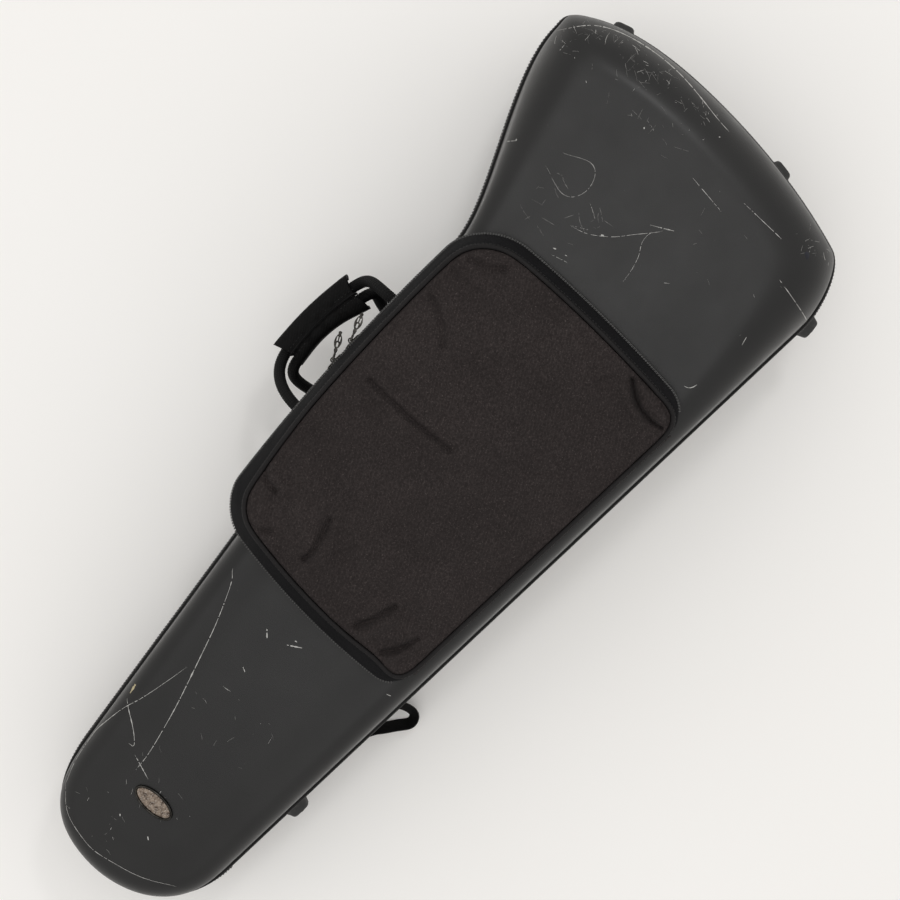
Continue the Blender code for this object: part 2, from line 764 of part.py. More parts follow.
def build_back(body):
    body.add("back_shell", half_shell(BACK_DEPTH_HEEL, BACK_DEPTH_BELL, -1, 0), MATERIALS["shell"])
    body.add("back_edge_trim", trim(-1), MATERIALS["trim"])
    body.add("back_zip_chain", zip_half(-1), MATERIALS["tape"])
    body.add("hinge_tape_back", hinge_half(-1), MATERIALS["webbing"])
    build_back_lining(body)
    build_hold_straps(body)
    build_feet(body)
    build_loop(body, "rear", -1, REAR_LOOP_SPAN)
    build_shoulder_straps(body)


def build_back_lining(body):
    """Six glued blocks: three in a row along the hinge side, and three beside them."""
    slide = tray(
        SLIDE_BAY_HEEL_X,
        SLIDE_BAY_BELL_X,
        SLIDE_BAY_Y,
        SLIDE_BAY_WIDTH,
        SLIDE_BAY_DEPTH,
        SLIDE_BAY_CORNER,
    )
    accessory = tray(
        ACCESSORY_BAY_HEEL_X,
        ACCESSORY_BAY_BELL_X,
        ACCESSORY_BAY_Y,
        ACCESSORY_BAY_WIDTH,
        ACCESSORY_BAY_DEPTH,
        SLIDE_BAY_CORNER,
    )
    slide_cutter = add_cutter(body, "slide_bay_cutter", slide)
    accessory_cutter = add_cutter(body, "accessory_bay_cutter", accessory)
    well_cutter = add_cutter(body, "bell_well_cutter", bell_well(), BELL_FRAME)
    bow_cutter = add_cutter(body, "bow_bay_cutter", bow_bay(), BELL_FRAME)
    half_gap = FIT_GAP / 2
    by_hinge, by_handle = (None, PADDING_SEAM_Y - half_gap), (PADDING_SEAM_Y + half_gap, None)
    heel_end = (None, PADDING_HEEL_X - half_gap)
    middle = (PADDING_HEEL_X + half_gap, PADDING_BELL_X - half_gap)
    bell_end = (PADDING_BELL_X + half_gap, None)
    blocks = (
        ("slide_heel", heel_end, by_hinge, (slide_cutter,)),
        ("slide_middle", middle, by_hinge, (slide_cutter,)),
        ("slide_bell", bell_end, by_hinge, (slide_cutter,)),
        ("heel", heel_end, by_handle, (accessory_cutter,)),
        ("bow", middle, by_handle, (well_cutter, bow_cutter)),
        ("bell", bell_end, by_handle, (well_cutter,)),
    )
    for name, span_x, span_y, cutters in blocks:
        block = lining_block(BACK_DEPTH_HEEL, BACK_DEPTH_BELL, -1)
        keep_between(block, 0, *span_x)
        keep_between(block, 1, *span_y)
        cut(body.add("back_lining_" + name, block, MATERIALS["padding"]), cutters)
    build_mouthpiece_block(body)


def build_mouthpiece_block(body):
    """A foam block at the narrow end of the accessory bay, with a tapered hole for the mouthpiece."""
    width = ACCESSORY_BAY_WIDTH - 2 * FIT_GAP
    floor = -ACCESSORY_BAY_DEPTH + FIT_GAP
    centre = (
        ACCESSORY_BAY_BELL_X - FIT_GAP - MOUTHPIECE_BLOCK_LENGTH / 2,
        ACCESSORY_BAY_Y + ACCESSORY_BAY_WIDTH / 2,
    )
    half = (MOUTHPIECE_BLOCK_LENGTH / 2, width / 2)
    outline = rounded_rectangle(
        (centre[0] - half[0], centre[1] - half[1]),
        (centre[0] + half[0], centre[1] + half[1]),
        SLIDE_BAY_CORNER,
    )
    block = body.add(
        "mouthpiece_block", prism(outline, floor, floor + MOUTHPIECE_BLOCK_HEIGHT), MATERIALS["padding"]
    )
    rim = circle(MOUTHPIECE_RIM_RADIUS, 20)
    toe = circle(MOUTHPIECE_RIM_RADIUS * 0.45, 20)
    top = floor + MOUTHPIECE_BLOCK_HEIGHT
    hole = loft(
        [
            [(centre[0] + a, centre[1] + b, top - MOUTHPIECE_CUP_DEPTH) for a, b in toe],
            [(centre[0] + a, centre[1] + b, top - MOUTHPIECE_CUP_DEPTH * 0.4) for a, b in rim],
            [(centre[0] + a, centre[1] + b, top + CUT_OVERRUN) for a, b in rim],
        ]
    )
    cut(block, [add_cutter(body, "mouthpiece_cutter", hole)])


def hold_strap(length):
    """Webbing pulled flat across a bay, its free end doubled back into a grab tab."""
    low = -LINING_DROP + FIT_GAP
    outline = rounded_rectangle(
        (-HOLD_STRAP_WIDTH / 2, 0), (HOLD_STRAP_WIDTH / 2, length), HOLD_STRAP_WIDTH / 6, 3
    )
    return prism(outline, low, low + HOLD_STRAP_THICKNESS)


def build_hold_straps(body):
    length = SLIDE_BAY_WIDTH + 2 * HOLD_STRAP_OVERLAP
    start = SLIDE_BAY_Y - HOLD_STRAP_OVERLAP
    for name, x in (("heel", SLIDE_STRAP_HEEL_X), ("bell", SLIDE_STRAP_BELL_X)):
        place = Matrix.Translation((x, start, 0))
        body.add("slide_strap_" + name, hold_strap(length), MATERIALS["webbing"], place)
    across = (
        BELL_FRAME
        @ Matrix.Translation((BELL_STRAP_STATION, -BELL_STRAP_HALF_LENGTH, BELL_AXIS_DROP))
    )
    body.add("bell_strap", hold_strap(2 * BELL_STRAP_HALF_LENGTH), MATERIALS["webbing"], across)


def build_feet(body):
    places = (
        ("foot_side_bell", "hinge_corner", 0, CASE_LENGTH - FOOT_CORNER_SETBACK),
        ("foot_side_heel", "hinge", 0, FOOT_STRAIGHT_HEEL_X),
        ("foot_end_hinge", "bell", 1, FOOT_BELL_HINGE_Y),
        ("foot_end_handle", "bell", 1, BELL_WIDTH - FOOT_BELL_HANDLE_DROP),
    )
    for name, stretch, axis, value in places:
        spot, outward = rim_point(stretch, axis, value)
        frame = wall_frame(spot, outward, -FOOT_DROP)
        body.add(name, foot(), MATERIALS["rubber"], frame)


# The handle

def handle_side(x):
    """Where the handle side's rim stands at a place along the case, and its outward way."""
    stretch = "taper" if x < TAPER_END_X else "waist"
    return rim_point(stretch, 0, x)


def anchor_frame(x, z):
    """The seat of an anchor plate, clear of the wall where the wall bends out under its ends."""
    spot, outward = handle_side(x)
    proud = 0
    for end in (x - ANCHOR_LENGTH / 2, x + ANCHOR_LENGTH / 2):
        proud = max(proud, (handle_side(end)[0] - spot).dot(outward))
    return wall_frame(spot + outward * proud, outward, z)


def build_loop(body, name, sign, span):
    """A padded loop: out of one anchor, along the grip and back into the other anchor."""
    ends = [anchor_frame(HANDLE_X + side * span / 2, sign * LOOP_ANCHOR_Z) for side in (-1, 1)]
    for frame, end in zip(ends, ("heel", "bell")):
        plate = box(
            (ANCHOR_LENGTH, ANCHOR_THICKNESS, ANCHOR_HEIGHT),
            (0, FIT_GAP + ANCHOR_THICKNESS / 2, 0),
            ANCHOR_BEVEL,
            1,
        )
        body.add(f"{name}_handle_anchor_{end}", plate, MATERIALS["plastic"], frame)
    middle = [point + Vector((0, sign * LOOP_GRIP_SPREAD, sign * LOOP_GRIP_Z)) for point in grip_path()]
    slope = Vector((1, 4 * GRIP_BOW / GRIP_LENGTH, 0)).normalized()
    seat = FIT_GAP * 2 + ANCHOR_THICKNESS
    legs = []
    ways = (-slope, slope.reflect(Vector((0, 1, 0))))
    for frame, start, way in zip(ends, (middle[0], middle[-1]), ways):
        foot = frame @ Vector((0, seat, 0))
        out = frame.to_3x3() @ Vector((0, 1, 0))
        reach = (start - foot).length
        lead = foot + out * LOOP_RADIUS
        knots = ((lead, out, out * reach * 0.5), (start, -way * LOOP_SHOULDER, way))
        legs.append([foot] + bezier_path(knots, (8,)))
    path = legs[0] + middle[1:-1] + legs[1][::-1]
    loop = sweep(path, circle(LOOP_RADIUS, 10), (0, 0, 1))
    body.add(f"{name}_handle_loop", loop, MATERIALS["webbing"])


def grip_middle():
    return handle_side(HANDLE_X)[0] + Vector((0, GRIP_STANDOFF, 0))


def grip_path():
    half = GRIP_LENGTH / 2
    middle = grip_middle()
    points = []
    for step in range(7):
        share = step / 3 - 1
        points.append(middle + Vector((half * share, -GRIP_BOW * share * share, 0)))
    return points


def grip_half(side):
    """Half of the grip's cover, from the seam on top over one loop and down its skirt.

    `side` is 1 for the outer half, -1 for the half towards the shells.
    """
    seam = GRIP_WEB / 2 + FIT_GAP
    shoulder = GRIP_HALF_WIDTH * 0.74
    skin = GRIP_SKIN
    points = [
        (seam, GRIP_TOP),
        (shoulder, GRIP_TOP - skin * 0.4),
        (GRIP_HALF_WIDTH, GRIP_TOP * 0.52),
        (GRIP_HALF_WIDTH, -GRIP_SKIRT * 0.5),
        (GRIP_HALF_WIDTH * 0.90, -GRIP_SKIRT),
        (GRIP_HALF_WIDTH * 0.90 - skin, -GRIP_SKIRT),
        (GRIP_HALF_WIDTH - skin, -GRIP_SKIRT * 0.5),
        (GRIP_HALF_WIDTH - skin, GRIP_TOP * 0.45),
        (shoulder - skin * 0.5, GRIP_TOP - skin * 1.5),
        (seam, GRIP_TOP - skin),
    ]
    return sweep(grip_path(), [(-side * a, b) for a, b in points], (0, 0, 1))


def grip_seam():
    """The sewn web between the loops, on which both halves of the cover meet."""
    half = GRIP_WEB / 2
    top = GRIP_TOP + GRIP_WEB
    points = [(-half, top), (half, top), (half, -LOOP_RADIUS), (-half, -LOOP_RADIUS)]
    return sweep(grip_path(), points, (0, 0, 1))


# The back's shoulder straps

def shoulder_strap(length):
    """A flat padded strap along x, narrower at both ends, lying under the back."""
    low, high = -STRAP_THICKNESS - FIT_GAP, -FIT_GAP
    soft = STRAP_THICKNESS * 0.3
    steps = 8

    def edge(trim):
        half_widths = []
        for step in range(steps + 1):
            share = step / steps
            ease = math.sin(math.pi * share) ** 0.5
            half = (STRAP_END_WIDTH + (STRAP_WIDTH - STRAP_END_WIDTH) * ease) / 2 - trim
            half_widths.append((trim + (length - 2 * trim) * share, half))
        return [(x, -half) for x, half in half_widths] + [(x, half) for x, half in reversed(half_widths)]

    levels = ((low, soft), (low + soft, 0), (high - soft, 0), (high, soft))
    return loft([[(x, y, z) for x, y in edge(trim)] for z, trim in levels])


def ladder_lock():
    """A flat buckle before its two slots are cut; x along the strap."""
    size = (LOCK_LENGTH, LOCK_WIDTH, LOCK_THICKNESS)
    return box(size, (0, 0, -FIT_GAP - LOCK_THICKNESS / 2), FIT_GAP * 2, 1)


def lock_slot(x):
    slot = (LOCK_LENGTH - 3 * LOCK_BAR) / 2
    return box((slot, LOCK_WIDTH - 2 * LOCK_BAR, LOCK_THICKNESS * 3), (x, 0, -LOCK_THICKNESS / 2))


def build_shoulder_straps(body):
    low = -FIT_GAP - WEBBING_THICKNESS
    for name, heel_y, bell_y in zip(("hinge_side", "handle_side"), STRAP_HEEL_YS, STRAP_BELL_YS):
        turn = math.atan2(bell_y - heel_y, STRAP_BELL_X - STRAP_HEEL_X)
        length = math.hypot(bell_y - heel_y, STRAP_BELL_X - STRAP_HEEL_X)
        heel_end = Matrix.Translation((STRAP_HEEL_X, heel_y, 0)) @ Matrix.Rotation(turn, 4, "Z")
        bell_end = heel_end @ Matrix.Translation((length, 0, 0))
        body.add("shoulder_strap_" + name, shoulder_strap(length), MATERIALS["cloth"], BACK @ heel_end)
        half = STRAP_END_WIDTH / 2
        outline = rounded_rectangle((FIT_GAP, -half), (PATCH_LENGTH, half), half / 3, 3)
        patch = prism(outline, -FIT_GAP - PATCH_THICKNESS, -FIT_GAP)
        body.add("strap_patch_" + name, patch, MATERIALS["webbing"], BACK @ bell_end)
        centre = -FIT_GAP - LOCK_LENGTH / 2
        lock = body.add(
            "ladder_lock_" + name,
            ladder_lock(),
            MATERIALS["plastic"],
            BACK @ heel_end @ Matrix.Translation((centre, 0, 0)),
        )
        pitch = (LOCK_LENGTH - LOCK_BAR) / 4
        cutters = []
        for side, offset in (("near", pitch), ("far", -pitch)):
            slot = lock_slot(offset)
            frame = BACK @ heel_end @ Matrix.Translation((centre, 0, 0))
            cutters.append(add_cutter(body, f"slot_{side}_{name}", slot, frame))
        cut(lock, cutters)
        end = centre - LOCK_LENGTH / 2 - FIT_GAP
        webbing = prism(
            [
                (end - WEBBING_LENGTH, -WEBBING_WIDTH / 2),
                (end, -WEBBING_WIDTH / 2),
                (end, WEBBING_WIDTH / 2),
                (end - WEBBING_LENGTH, WEBBING_WIDTH / 2),
            ],
            low,
            -FIT_GAP,
        )
        body.add("strap_webbing_" + name, webbing, MATERIALS["webbing"], BACK @ heel_end)
    build_strap_tail(body)


def build_strap_tail(body):
    """The folded end of the webbing, which sticks out from under the hinge side."""
    half = WEBBING_WIDTH / 2
    low = -FIT_GAP - TAIL_THICKNESS
    outline = [
        (TAIL_X - half, TAIL_ROOT_Y),
        (TAIL_X - half, -TAIL_REACH + half / 3),
        (TAIL_X - half * 0.6, -TAIL_REACH),
        (TAIL_X + half * 0.6, -TAIL_REACH),
        (TAIL_X + half, -TAIL_REACH + half / 3),
        (TAIL_X + half, TAIL_ROOT_Y),
    ]
    body.add("strap_tail", prism(outline, low, -FIT_GAP), MATERIALS["webbing"], BACK)


# The lid

def build_lid(body):
    shell = half_shell(FRONT_DEPTH_HEEL, FRONT_DEPTH_BELL, 1, FRONT_CROWN)
    body.add("front_shell", shell, MATERIALS["shell"])
    body.add("front_edge_trim", trim(1), MATERIALS["trim"])
    body.add("front_zip_chain", zip_half(1), MATERIALS["tape"])
    body.add("hinge_tape_front", hinge_half(1), MATERIALS["webbing"])
    build_front_lining(body)
    build_loop(body, "front", 1, FRONT_LOOP_SPAN)
    body.add("grip_inner_cover", grip_half(-1), MATERIALS["grip"])
    body.add("grip_seam_web", grip_seam(), MATERIALS["grip"])
    build_badge(body)
    build_pocket_base(body)


def build_front_lining(body):
    lining = body.add(
        "front_lining", lining_block(FRONT_DEPTH_HEEL, FRONT_DEPTH_BELL, 1), MATERIALS["padding"]
    )
    cut(lining, [add_cutter(body, "bell_relief_cutter", bell_well(), BELL_FRAME)])


def oval(length, width, count=32):
    return [
        (width / 2 * math.cos(2 * math.pi * i / count), length / 2 * math.sin(2 * math.pi * i / count))
        for i in range(count)
    ]


def build_badge(body):
    turn = Matrix.Rotation(BADGE_TURN, 4, "Z")
    place = FACE @ Matrix.Translation((BADGE_X, BADGE_Y, FIT_GAP)) @ turn
    outer = oval(BADGE_LENGTH, BADGE_WIDTH)
    inner = oval(BADGE_LENGTH - 2 * BADGE_RIM, BADGE_WIDTH - 2 * BADGE_RIM)
    crest = oval(BADGE_LENGTH - BADGE_RIM, BADGE_WIDTH - BADGE_RIM)
    rings = [
        [(x, y, 0) for x, y in outer],
        [(x, y, BADGE_HEIGHT * 0.6) for x, y in outer],
        [(x, y, BADGE_HEIGHT) for x, y in crest],
        [(x, y, BADGE_HEIGHT * 0.7) for x, y in inner],
        [(x, y, 0) for x, y in inner],
        [(x, y, 0) for x, y in outer],
    ]
    rim = loft(rings, cap_start=False, cap_end=False)
    bmesh.ops.remove_doubles(rim, verts=rim.verts, dist=FIT_GAP / 100)
    body.add("badge_rim", rim, MATERIALS["silver"], place)
    gap = BADGE_RIM + FIT_GAP
    plate = oval(BADGE_LENGTH - 2 * gap, BADGE_WIDTH - 2 * gap)
    body.add("badge_plate", prism(plate, 0, BADGE_PLATE_HEIGHT), MATERIALS["bronze"], place)


# The pocket

def pocket_side(x):
    """How far out the pocket's handle side lies at x, and its slope there: a shallow bow."""
    share = (x - POCKET_HEEL_X) / POCKET_LENGTH
    widening = POCKET_BELL_WIDTH - POCKET_HEEL_WIDTH
    bow = POCKET_SIDE_BOW * (1 - (2 * share - 1) ** 2)
    slope = (widening + POCKET_SIDE_BOW * 4 * (1 - 2 * share)) / POCKET_LENGTH
    return POCKET_HINGE_Y + POCKET_HEEL_WIDTH + widening * share + bow, slope


def pocket_place(x, y):
    """Moves a place of the plain rectangle to the real outline: bowed ends, a slanted bell end."""
    along = (x - POCKET_HEEL_X) / POCKET_LENGTH
    across = (y - POCKET_HINGE_Y) / POCKET_HEEL_WIDTH
    arch = 1 - (2 * across - 1) ** 2
    heel = -POCKET_HEEL_BOW * arch
    bell = POCKET_BELL_BOW * arch - POCKET_BELL_SLANT * across
    moved = x + heel + (bell - heel) * along
    return moved, POCKET_HINGE_Y + (pocket_side(moved)[0] - POCKET_HINGE_Y) * across


def pocket_outline(inset=0.0, steps=5):
    """The pocket's edge, from the hinge side of the bell end round to where it started."""
    low_x, high_x = POCKET_HEEL_X + inset, POCKET_BELL_X - inset
    low_y, high_y = POCKET_HINGE_Y + inset, POCKET_HINGE_Y + POCKET_HEEL_WIDTH - inset
    corners = (
        (high_x, low_y, POCKET_BELL_HINGE_CORNER, -90, (1 / 3, 2 / 3)),
        (high_x, high_y, POCKET_BELL_HANDLE_CORNER, 0, (1 / 5, 2 / 5, 3 / 5, 4 / 5)),
        (low_x, high_y, POCKET_HEEL_HANDLE_CORNER, 90, (1 / 3, 2 / 3)),
        (low_x, low_y, POCKET_HEEL_HINGE_CORNER, 180, (1 / 4, 2 / 4, 3 / 4)),
    )
    arcs = []
    for x, y, corner, start, _ in corners:
        radius = corner - inset
        middle_x = x - math.copysign(radius, x - (low_x + high_x) / 2)
        middle_y = y - math.copysign(radius, y - (low_y + high_y) / 2)
        turns = [math.radians(start + 90 * step / steps) for step in range(steps + 1)]
        arcs.append([(middle_x + radius * math.cos(t), middle_y + radius * math.sin(t)) for t in turns])
    points = []
    for i, arc in enumerate(arcs):
        points += arc
        (ax, ay), (bx, by) = arc[-1], arcs[(i + 1) % 4][0]
        points += [(ax + (bx - ax) * share, ay + (by - ay) * share) for share in corners[i][4]]
    return [pocket_place(x, y) for x, y in points]


def pocket_zip_path():
    """The pocket's edge without the hinge side, from its bell end round to the narrow end."""
    points = pocket_outline()
    ahead = [p for p in points if p[1] > POCKET_HINGE_Y + POCKET_HEEL_HINGE_CORNER * 0.35]
    return [Vector((x, y, 0)) for x, y in ahead]


BASE_TOP = FIT_GAP + POCKET_BASE
CHAIN_LOW = BASE_TOP + FIT_GAP
CHAIN_MIDDLE = CHAIN_LOW + POCKET_CHAIN
FLAP_LOW = CHAIN_MIDDLE + FIT_GAP * 2


def pocket_chain(low):
    """Half of the pocket's zip: a ribbed bead on a flat tape."""
    bead = POCKET_CHAIN_WIDTH * 0.45
    points = [
        (0, low),
        (0, low + POCKET_CHAIN * 0.7),
        (-bead * 0.3, low + POCKET_CHAIN),
        (-POCKET_CHAIN_WIDTH, low + POCKET_CHAIN),
        (-POCKET_CHAIN_WIDTH, low),
    ]
    return sweep(pocket_zip_path(), points, (0, 0, 1))


def build_pocket_base(body):
    base = prism(pocket_outline(FIT_GAP), FIT_GAP, BASE_TOP)
    body.add("pocket_base", base, MATERIALS["cloth"], FACE)
    body.add("pocket_zip_lower", pocket_chain(CHAIN_LOW), MATERIALS["tape"], FACE)


def eased(share):
    share = min(max(share, 0.0), 1.0)
    return share * share * (3 - 2 * share)


def pocket_stand(y):
    """How much of its full height the pocket's front has at y: little along the fold."""
    risen = eased((y - POCKET_HINGE_Y) / POCKET_WEDGE_REACH)
    return POCKET_FOLD_SHARE + (1 - POCKET_FOLD_SHARE) * risen


def pocket_lean(y):
    """How much of its full lean the pocket's side has at y: none along the fold."""
    return eased((y - POCKET_HINGE_Y) / POCKET_LEAN_REACH)


def pocket_ring(low_inset, high_inset, low, high):
    """A ring round the front: each point leans in and stands up as far as the front does there."""
    ring = []
    edges = zip(pocket_outline(), pocket_outline(low_inset), pocket_outline(high_inset))
    for (_, y), near, far in edges:
        spot = [a + (b - a) * pocket_lean(y) for a, b in zip(near, far)]
        ring.append((spot[0], spot[1], low + (high - low) * pocket_stand(y)))
    return ring


def build_pocket_flap(body):
    body.add("pocket_zip_upper", pocket_chain(FLAP_LOW), MATERIALS["tape"], FACE)
    start = FLAP_LOW + POCKET_CHAIN + FIT_GAP
    top = FIT_GAP + POCKET_DEPTH
    cloth = POCKET_CLOTH
    lean = POCKET_LEAN
    lip = POCKET_CHAIN_WIDTH * 0.1
    rings = [
        [(x, y, start) for x, y in pocket_outline(lip)],
        pocket_ring(lip, lean, start, top),
        pocket_ring(lip + cloth, lean + cloth, start, top),
        [(x, y, start) for x, y in pocket_outline(lip + cloth)],
        [(x, y, start) for x, y in pocket_outline(lip)],
    ]
    gusset = loft(rings, cap_start=False, cap_end=False)
    bmesh.ops.remove_doubles(gusset, verts=gusset.verts, dist=FIT_GAP / 100)
    body.add("pocket_gusset", gusset, MATERIALS["cloth"], FACE)
    fold_seat = start + FIT_GAP + POCKET_PIPING
    seat = top + FIT_GAP + POCKET_PIPING
    seam_in = POCKET_PIPING * 0.6
    edge = [Vector(p) for p in pocket_ring(lip + seam_in, lean + seam_in, fold_seat, seat)]
    piping = sweep(edge, circle(POCKET_PIPING, 6), (0, 0, 1), closed=True)
    body.add("pocket_piping", piping, MATERIALS["piping"], FACE)
    inner = POCKET_PIPING * 1.6 + FIT_GAP * 2
    edge_y = [y for _, y in pocket_outline()]
    first_y = [y for _, y in pocket_outline_soft(lean + inner)]
    under, over = [], []
    for in_share, rise_share in PANEL_SWELL_SHARES:
        inset = inner + POCKET_BELL_WIDTH * in_share
        near, far = pocket_outline_soft(lip + inset), pocket_outline_soft(lean + inset)
        lower, upper = [], []
        for i, (a, b) in enumerate(zip(near, far)):
            stand = pocket_stand(edge_y[i] + b[1] - first_y[i])
            x, y = (p + (q - p) * pocket_lean(edge_y[i]) for p, q in zip(a, b))
            height = fold_seat + (seat - fold_seat) * stand + POCKET_CROWN * rise_share
            lower.append((x, y, height - cloth / 2))
            upper.append((x, y, height + cloth / 2))
        under.append(lower)
        over.append(upper)
    body.add("pocket_panel", loft(under[::-1] + over), MATERIALS["cloth"], FACE)


def pocket_outline_soft(inset):
    """The pocket's edge drawn in towards its middle, for insets past the corner radius."""
    limit = POCKET_HEEL_HINGE_CORNER * 0.7
    outline = pocket_outline(min(inset, limit))
    if inset <= limit:
        return outline
    middle = Vector(
        (
            (POCKET_HEEL_X + POCKET_BELL_X) / 2,
            POCKET_HINGE_Y + (POCKET_HEEL_WIDTH + POCKET_BELL_WIDTH) / 4,
        )
    )
    half = (POCKET_HEEL_WIDTH + POCKET_BELL_WIDTH) / 4
    long_half = POCKET_LENGTH / 2
    extra = inset - limit
    return [
        (
            middle.x + (x - middle.x) * (1 - extra / (long_half - limit)),
            middle.y + (y - middle.y) * (1 - extra / (half - limit)),
        )
        for x, y in outline
    ]


def build_pocket_hinge(body):
    """The sewn strip along the straight side that the pocket's front folds on."""
    start = POCKET_HEEL_X + POCKET_HEEL_HINGE_CORNER
    end = POCKET_BELL_X - POCKET_BELL_HINGE_CORNER
    outline = [(start, -POCKET_CLOTH), (end, -POCKET_CLOTH), (end, 0), (start, 0)]
    strip = prism([(x, POCKET_HINGE_Y - FIT_GAP + y) for x, y in outline], FIT_GAP, CHAIN_MIDDLE)
    body.add("pocket_hinge_strip", strip, MATERIALS["cloth"], FACE)


# Zip sliders and their pulls

def merge(item, body, name, shape, frame):
    """Welds a further shape onto a piece."""
    helper = add_cutter(body, name, shape, frame)
    step = item.modifiers.new("join " + name, "BOOLEAN")
    step.operation = "UNION"
    step.solver = "EXACT"
    step.object = helper


def add_slider(carrier, name, frame, sizes, pull_turn):
    """A slider on its own slide axis, and its pull on the bar that the slider traps.

    `frame` has x along the zip and y out of it; `sizes` are how far the chains stand out, the
    plate's ends above and below the seam, and where the tape's face is. The pull points along x
    turned by `pull_turn`.
    """
    reach, top, bottom, tape_reach = sizes
    slide = Body(name + "_slide", frame.translation, carrier)
    item = slide.add(name, slider_body(reach, top, -bottom, tape_reach), MATERIALS["nickel"], frame)
    bar_y = reach + SLIDER_RUNNING_GAP + SLIDER_PLATE + BAR_HEIGHT
    bar = frame @ Matrix.Translation((0, bar_y, (top - bottom) / 2))
    merge(item, slide, name + "_bridge", slider_bridge(), bar)
    swing = Body(name + "_swing", bar.translation, slide)
    turned = bar @ Matrix.Rotation(pull_turn, 4, "Z")
    pull = swing.add(name.replace("slider", "pull"), pull_plate(), MATERIALS["nickel"], turned)
    cut(pull, [add_cutter(swing, name + "_window", pull_window(), turned)])
    return slide, swing


def build_main_sliders(carrier):
    """Two sliders that meet on the straight stretch of the handle side, next to the handle."""
    spot, outward = rim_point("taper", 0, SLIDER_A_X)
    turn = Matrix.Rotation(math.atan2(outward.y, outward.x) - math.pi / 2, 4, "Z")
    frame = Matrix.Translation(spot) @ turn
    reach = FIT_GAP + TEETH_REACH
    tape_reach = FIT_GAP + TAPE_THICKNESS + SLIDER_RUNNING_GAP
    moved = {}
    for name, shift, pull_turn in (("a", 0, math.pi), ("b", SLIDER_PITCH, 0)):
        place = frame @ Matrix.Translation((shift, 0, 0))
        sizes = (reach, SLIDER_TOP, SLIDER_BOTTOM, tape_reach)
        moved[name] = add_slider(carrier, "main_slider_" + name, place, sizes, pull_turn)
    return moved


def build_pocket_sliders(carrier):
    """Two sliders side by side at the middle of the pocket's handle side, pulls hanging outward."""
    y = pocket_side(POCKET_SLIDER_A_X)[0]
    slope = pocket_side(POCKET_SLIDER_A_X + POCKET_SLIDER_PITCH / 2)[1]
    seam = CHAIN_MIDDLE + FIT_GAP
    edge = Matrix.Translation((POCKET_SLIDER_A_X, y, seam)) @ Matrix.Rotation(math.atan(slope), 4, "Z")
    top = POCKET_CHAIN + FIT_GAP
    bottom = seam + SLIDER_RUNNING_GAP + SLIDER_PLATE
    tape_reach = -POCKET_CHAIN_WIDTH
    moved = {}
    sizes = (0, top, bottom, tape_reach)
    pairs = (("a", 0, POCKET_PULL_ANGLE_A), ("b", POCKET_SLIDER_PITCH, POCKET_PULL_ANGLE_B))
    for name, shift, pull_turn in pairs:
        place = FACE @ edge @ Matrix.Translation((shift, 0, 0))
        moved[name] = add_slider(carrier, "pocket_slider_" + name, place, sizes, pull_turn)
    return moved


# The whole case

def centre_on_origin(root, rim):
    """Lays the back flat and brings the middle of the whole case's foot over the origin."""
    rim.rotation_euler = (0, -RIM_TILT, 0)
    bpy.context.view_layer.update()
    graph = bpy.context.evaluated_depsgraph_get()
    corners = []
    for item in bpy.data.objects:
        if item.type == "MESH" and not item.hide_render:
            evaluated = item.evaluated_get(graph)
            mesh = evaluated.to_mesh()
            corners += [item.matrix_world @ vertex.co for vertex in mesh.vertices]
            evaluated.to_mesh_clear()
    low = [min(corner[axis] for corner in corners) for axis in range(3)]
    high = [max(corner[axis] for corner in corners) for axis in range(3)]
    root.location = (-(low[0] + high[0]) / 2, -(low[1] + high[1]) / 2, -low[2])
    bpy.context.view_layer.update()


def report_axis(name, body, way, frame=Matrix.Identity(4)):
    """Prints where a joint sits and which way it runs, in the whole case's frame."""
    world = body.empty.matrix_world
    spot = world.translation
    axis = (world.to_3x3() @ frame.to_3x3() @ Vector(way)).normalized()
    print("axis", name, [round(value, 6) for value in spot], [round(value, 6) for value in axis])


def main():
    clear_scene()
    make_materials()
    root = new_empty("case", (0, 0, 0))
    rim = new_empty("rim_frame", (0, 0, 0), root)

    back = Body("back_half", (0, 0, 0))
    back.empty.parent = rim
    lid = Body("lid", (HINGE_HEEL_X, HINGE_Y, 0), back)
    pocket = Body("pocket_flap", FACE @ Vector((POCKET_HEEL_X, POCKET_HINGE_Y, FLAP_LOW)), lid)
    seam = grip_middle() + Vector((0, GRIP_WEB / 2 + FIT_GAP, GRIP_TOP))
    flap = Body("grip_flap", seam, lid)

    build_back(back)
    build_lid(lid)
    build_pocket_hinge(lid)
    build_pocket_flap(pocket)
    flap.add("grip_outer_cover", grip_half(1), MATERIALS["grip"])
    main_sliders = build_main_sliders(back)
    pocket_sliders = build_pocket_sliders(lid)
    centre_on_origin(root, rim)

    report_axis("lid_hinge", lid, (1, 0, 0))
    report_axis("pocket_hinge", pocket, (1, 0, 0), FACE)
    report_axis("grip_flap_hinge", flap, (1, 0, 0))
    taper = rim_point("taper", 0, SLIDER_A_X)[1].cross(Vector((0, 0, -1)))
    edge = (1, pocket_side(POCKET_SLIDER_A_X + POCKET_SLIDER_PITCH / 2)[1], 0)
    for name, (slide, swing) in main_sliders.items():
        report_axis("main_slider_" + name, slide, -taper)
        report_axis("main_pull_" + name, swing, (0, 0, 1))
    for name, (slide, swing) in pocket_sliders.items():
        report_axis("pocket_slider_" + name, slide, edge, FACE)
        report_axis("pocket_pull_" + name, swing, (0, 0, 1), FACE)


main()
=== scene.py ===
"""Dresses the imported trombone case: smooth shells, toothed zips, cloth pocket, corded handle, padding.

Pieces are laid out in the frame of the rim, as the solids are: x runs from the narrow end to the
bell end, y from the straight hinge side to the handle side, z out through the lid.
"""

import json
import math
import random

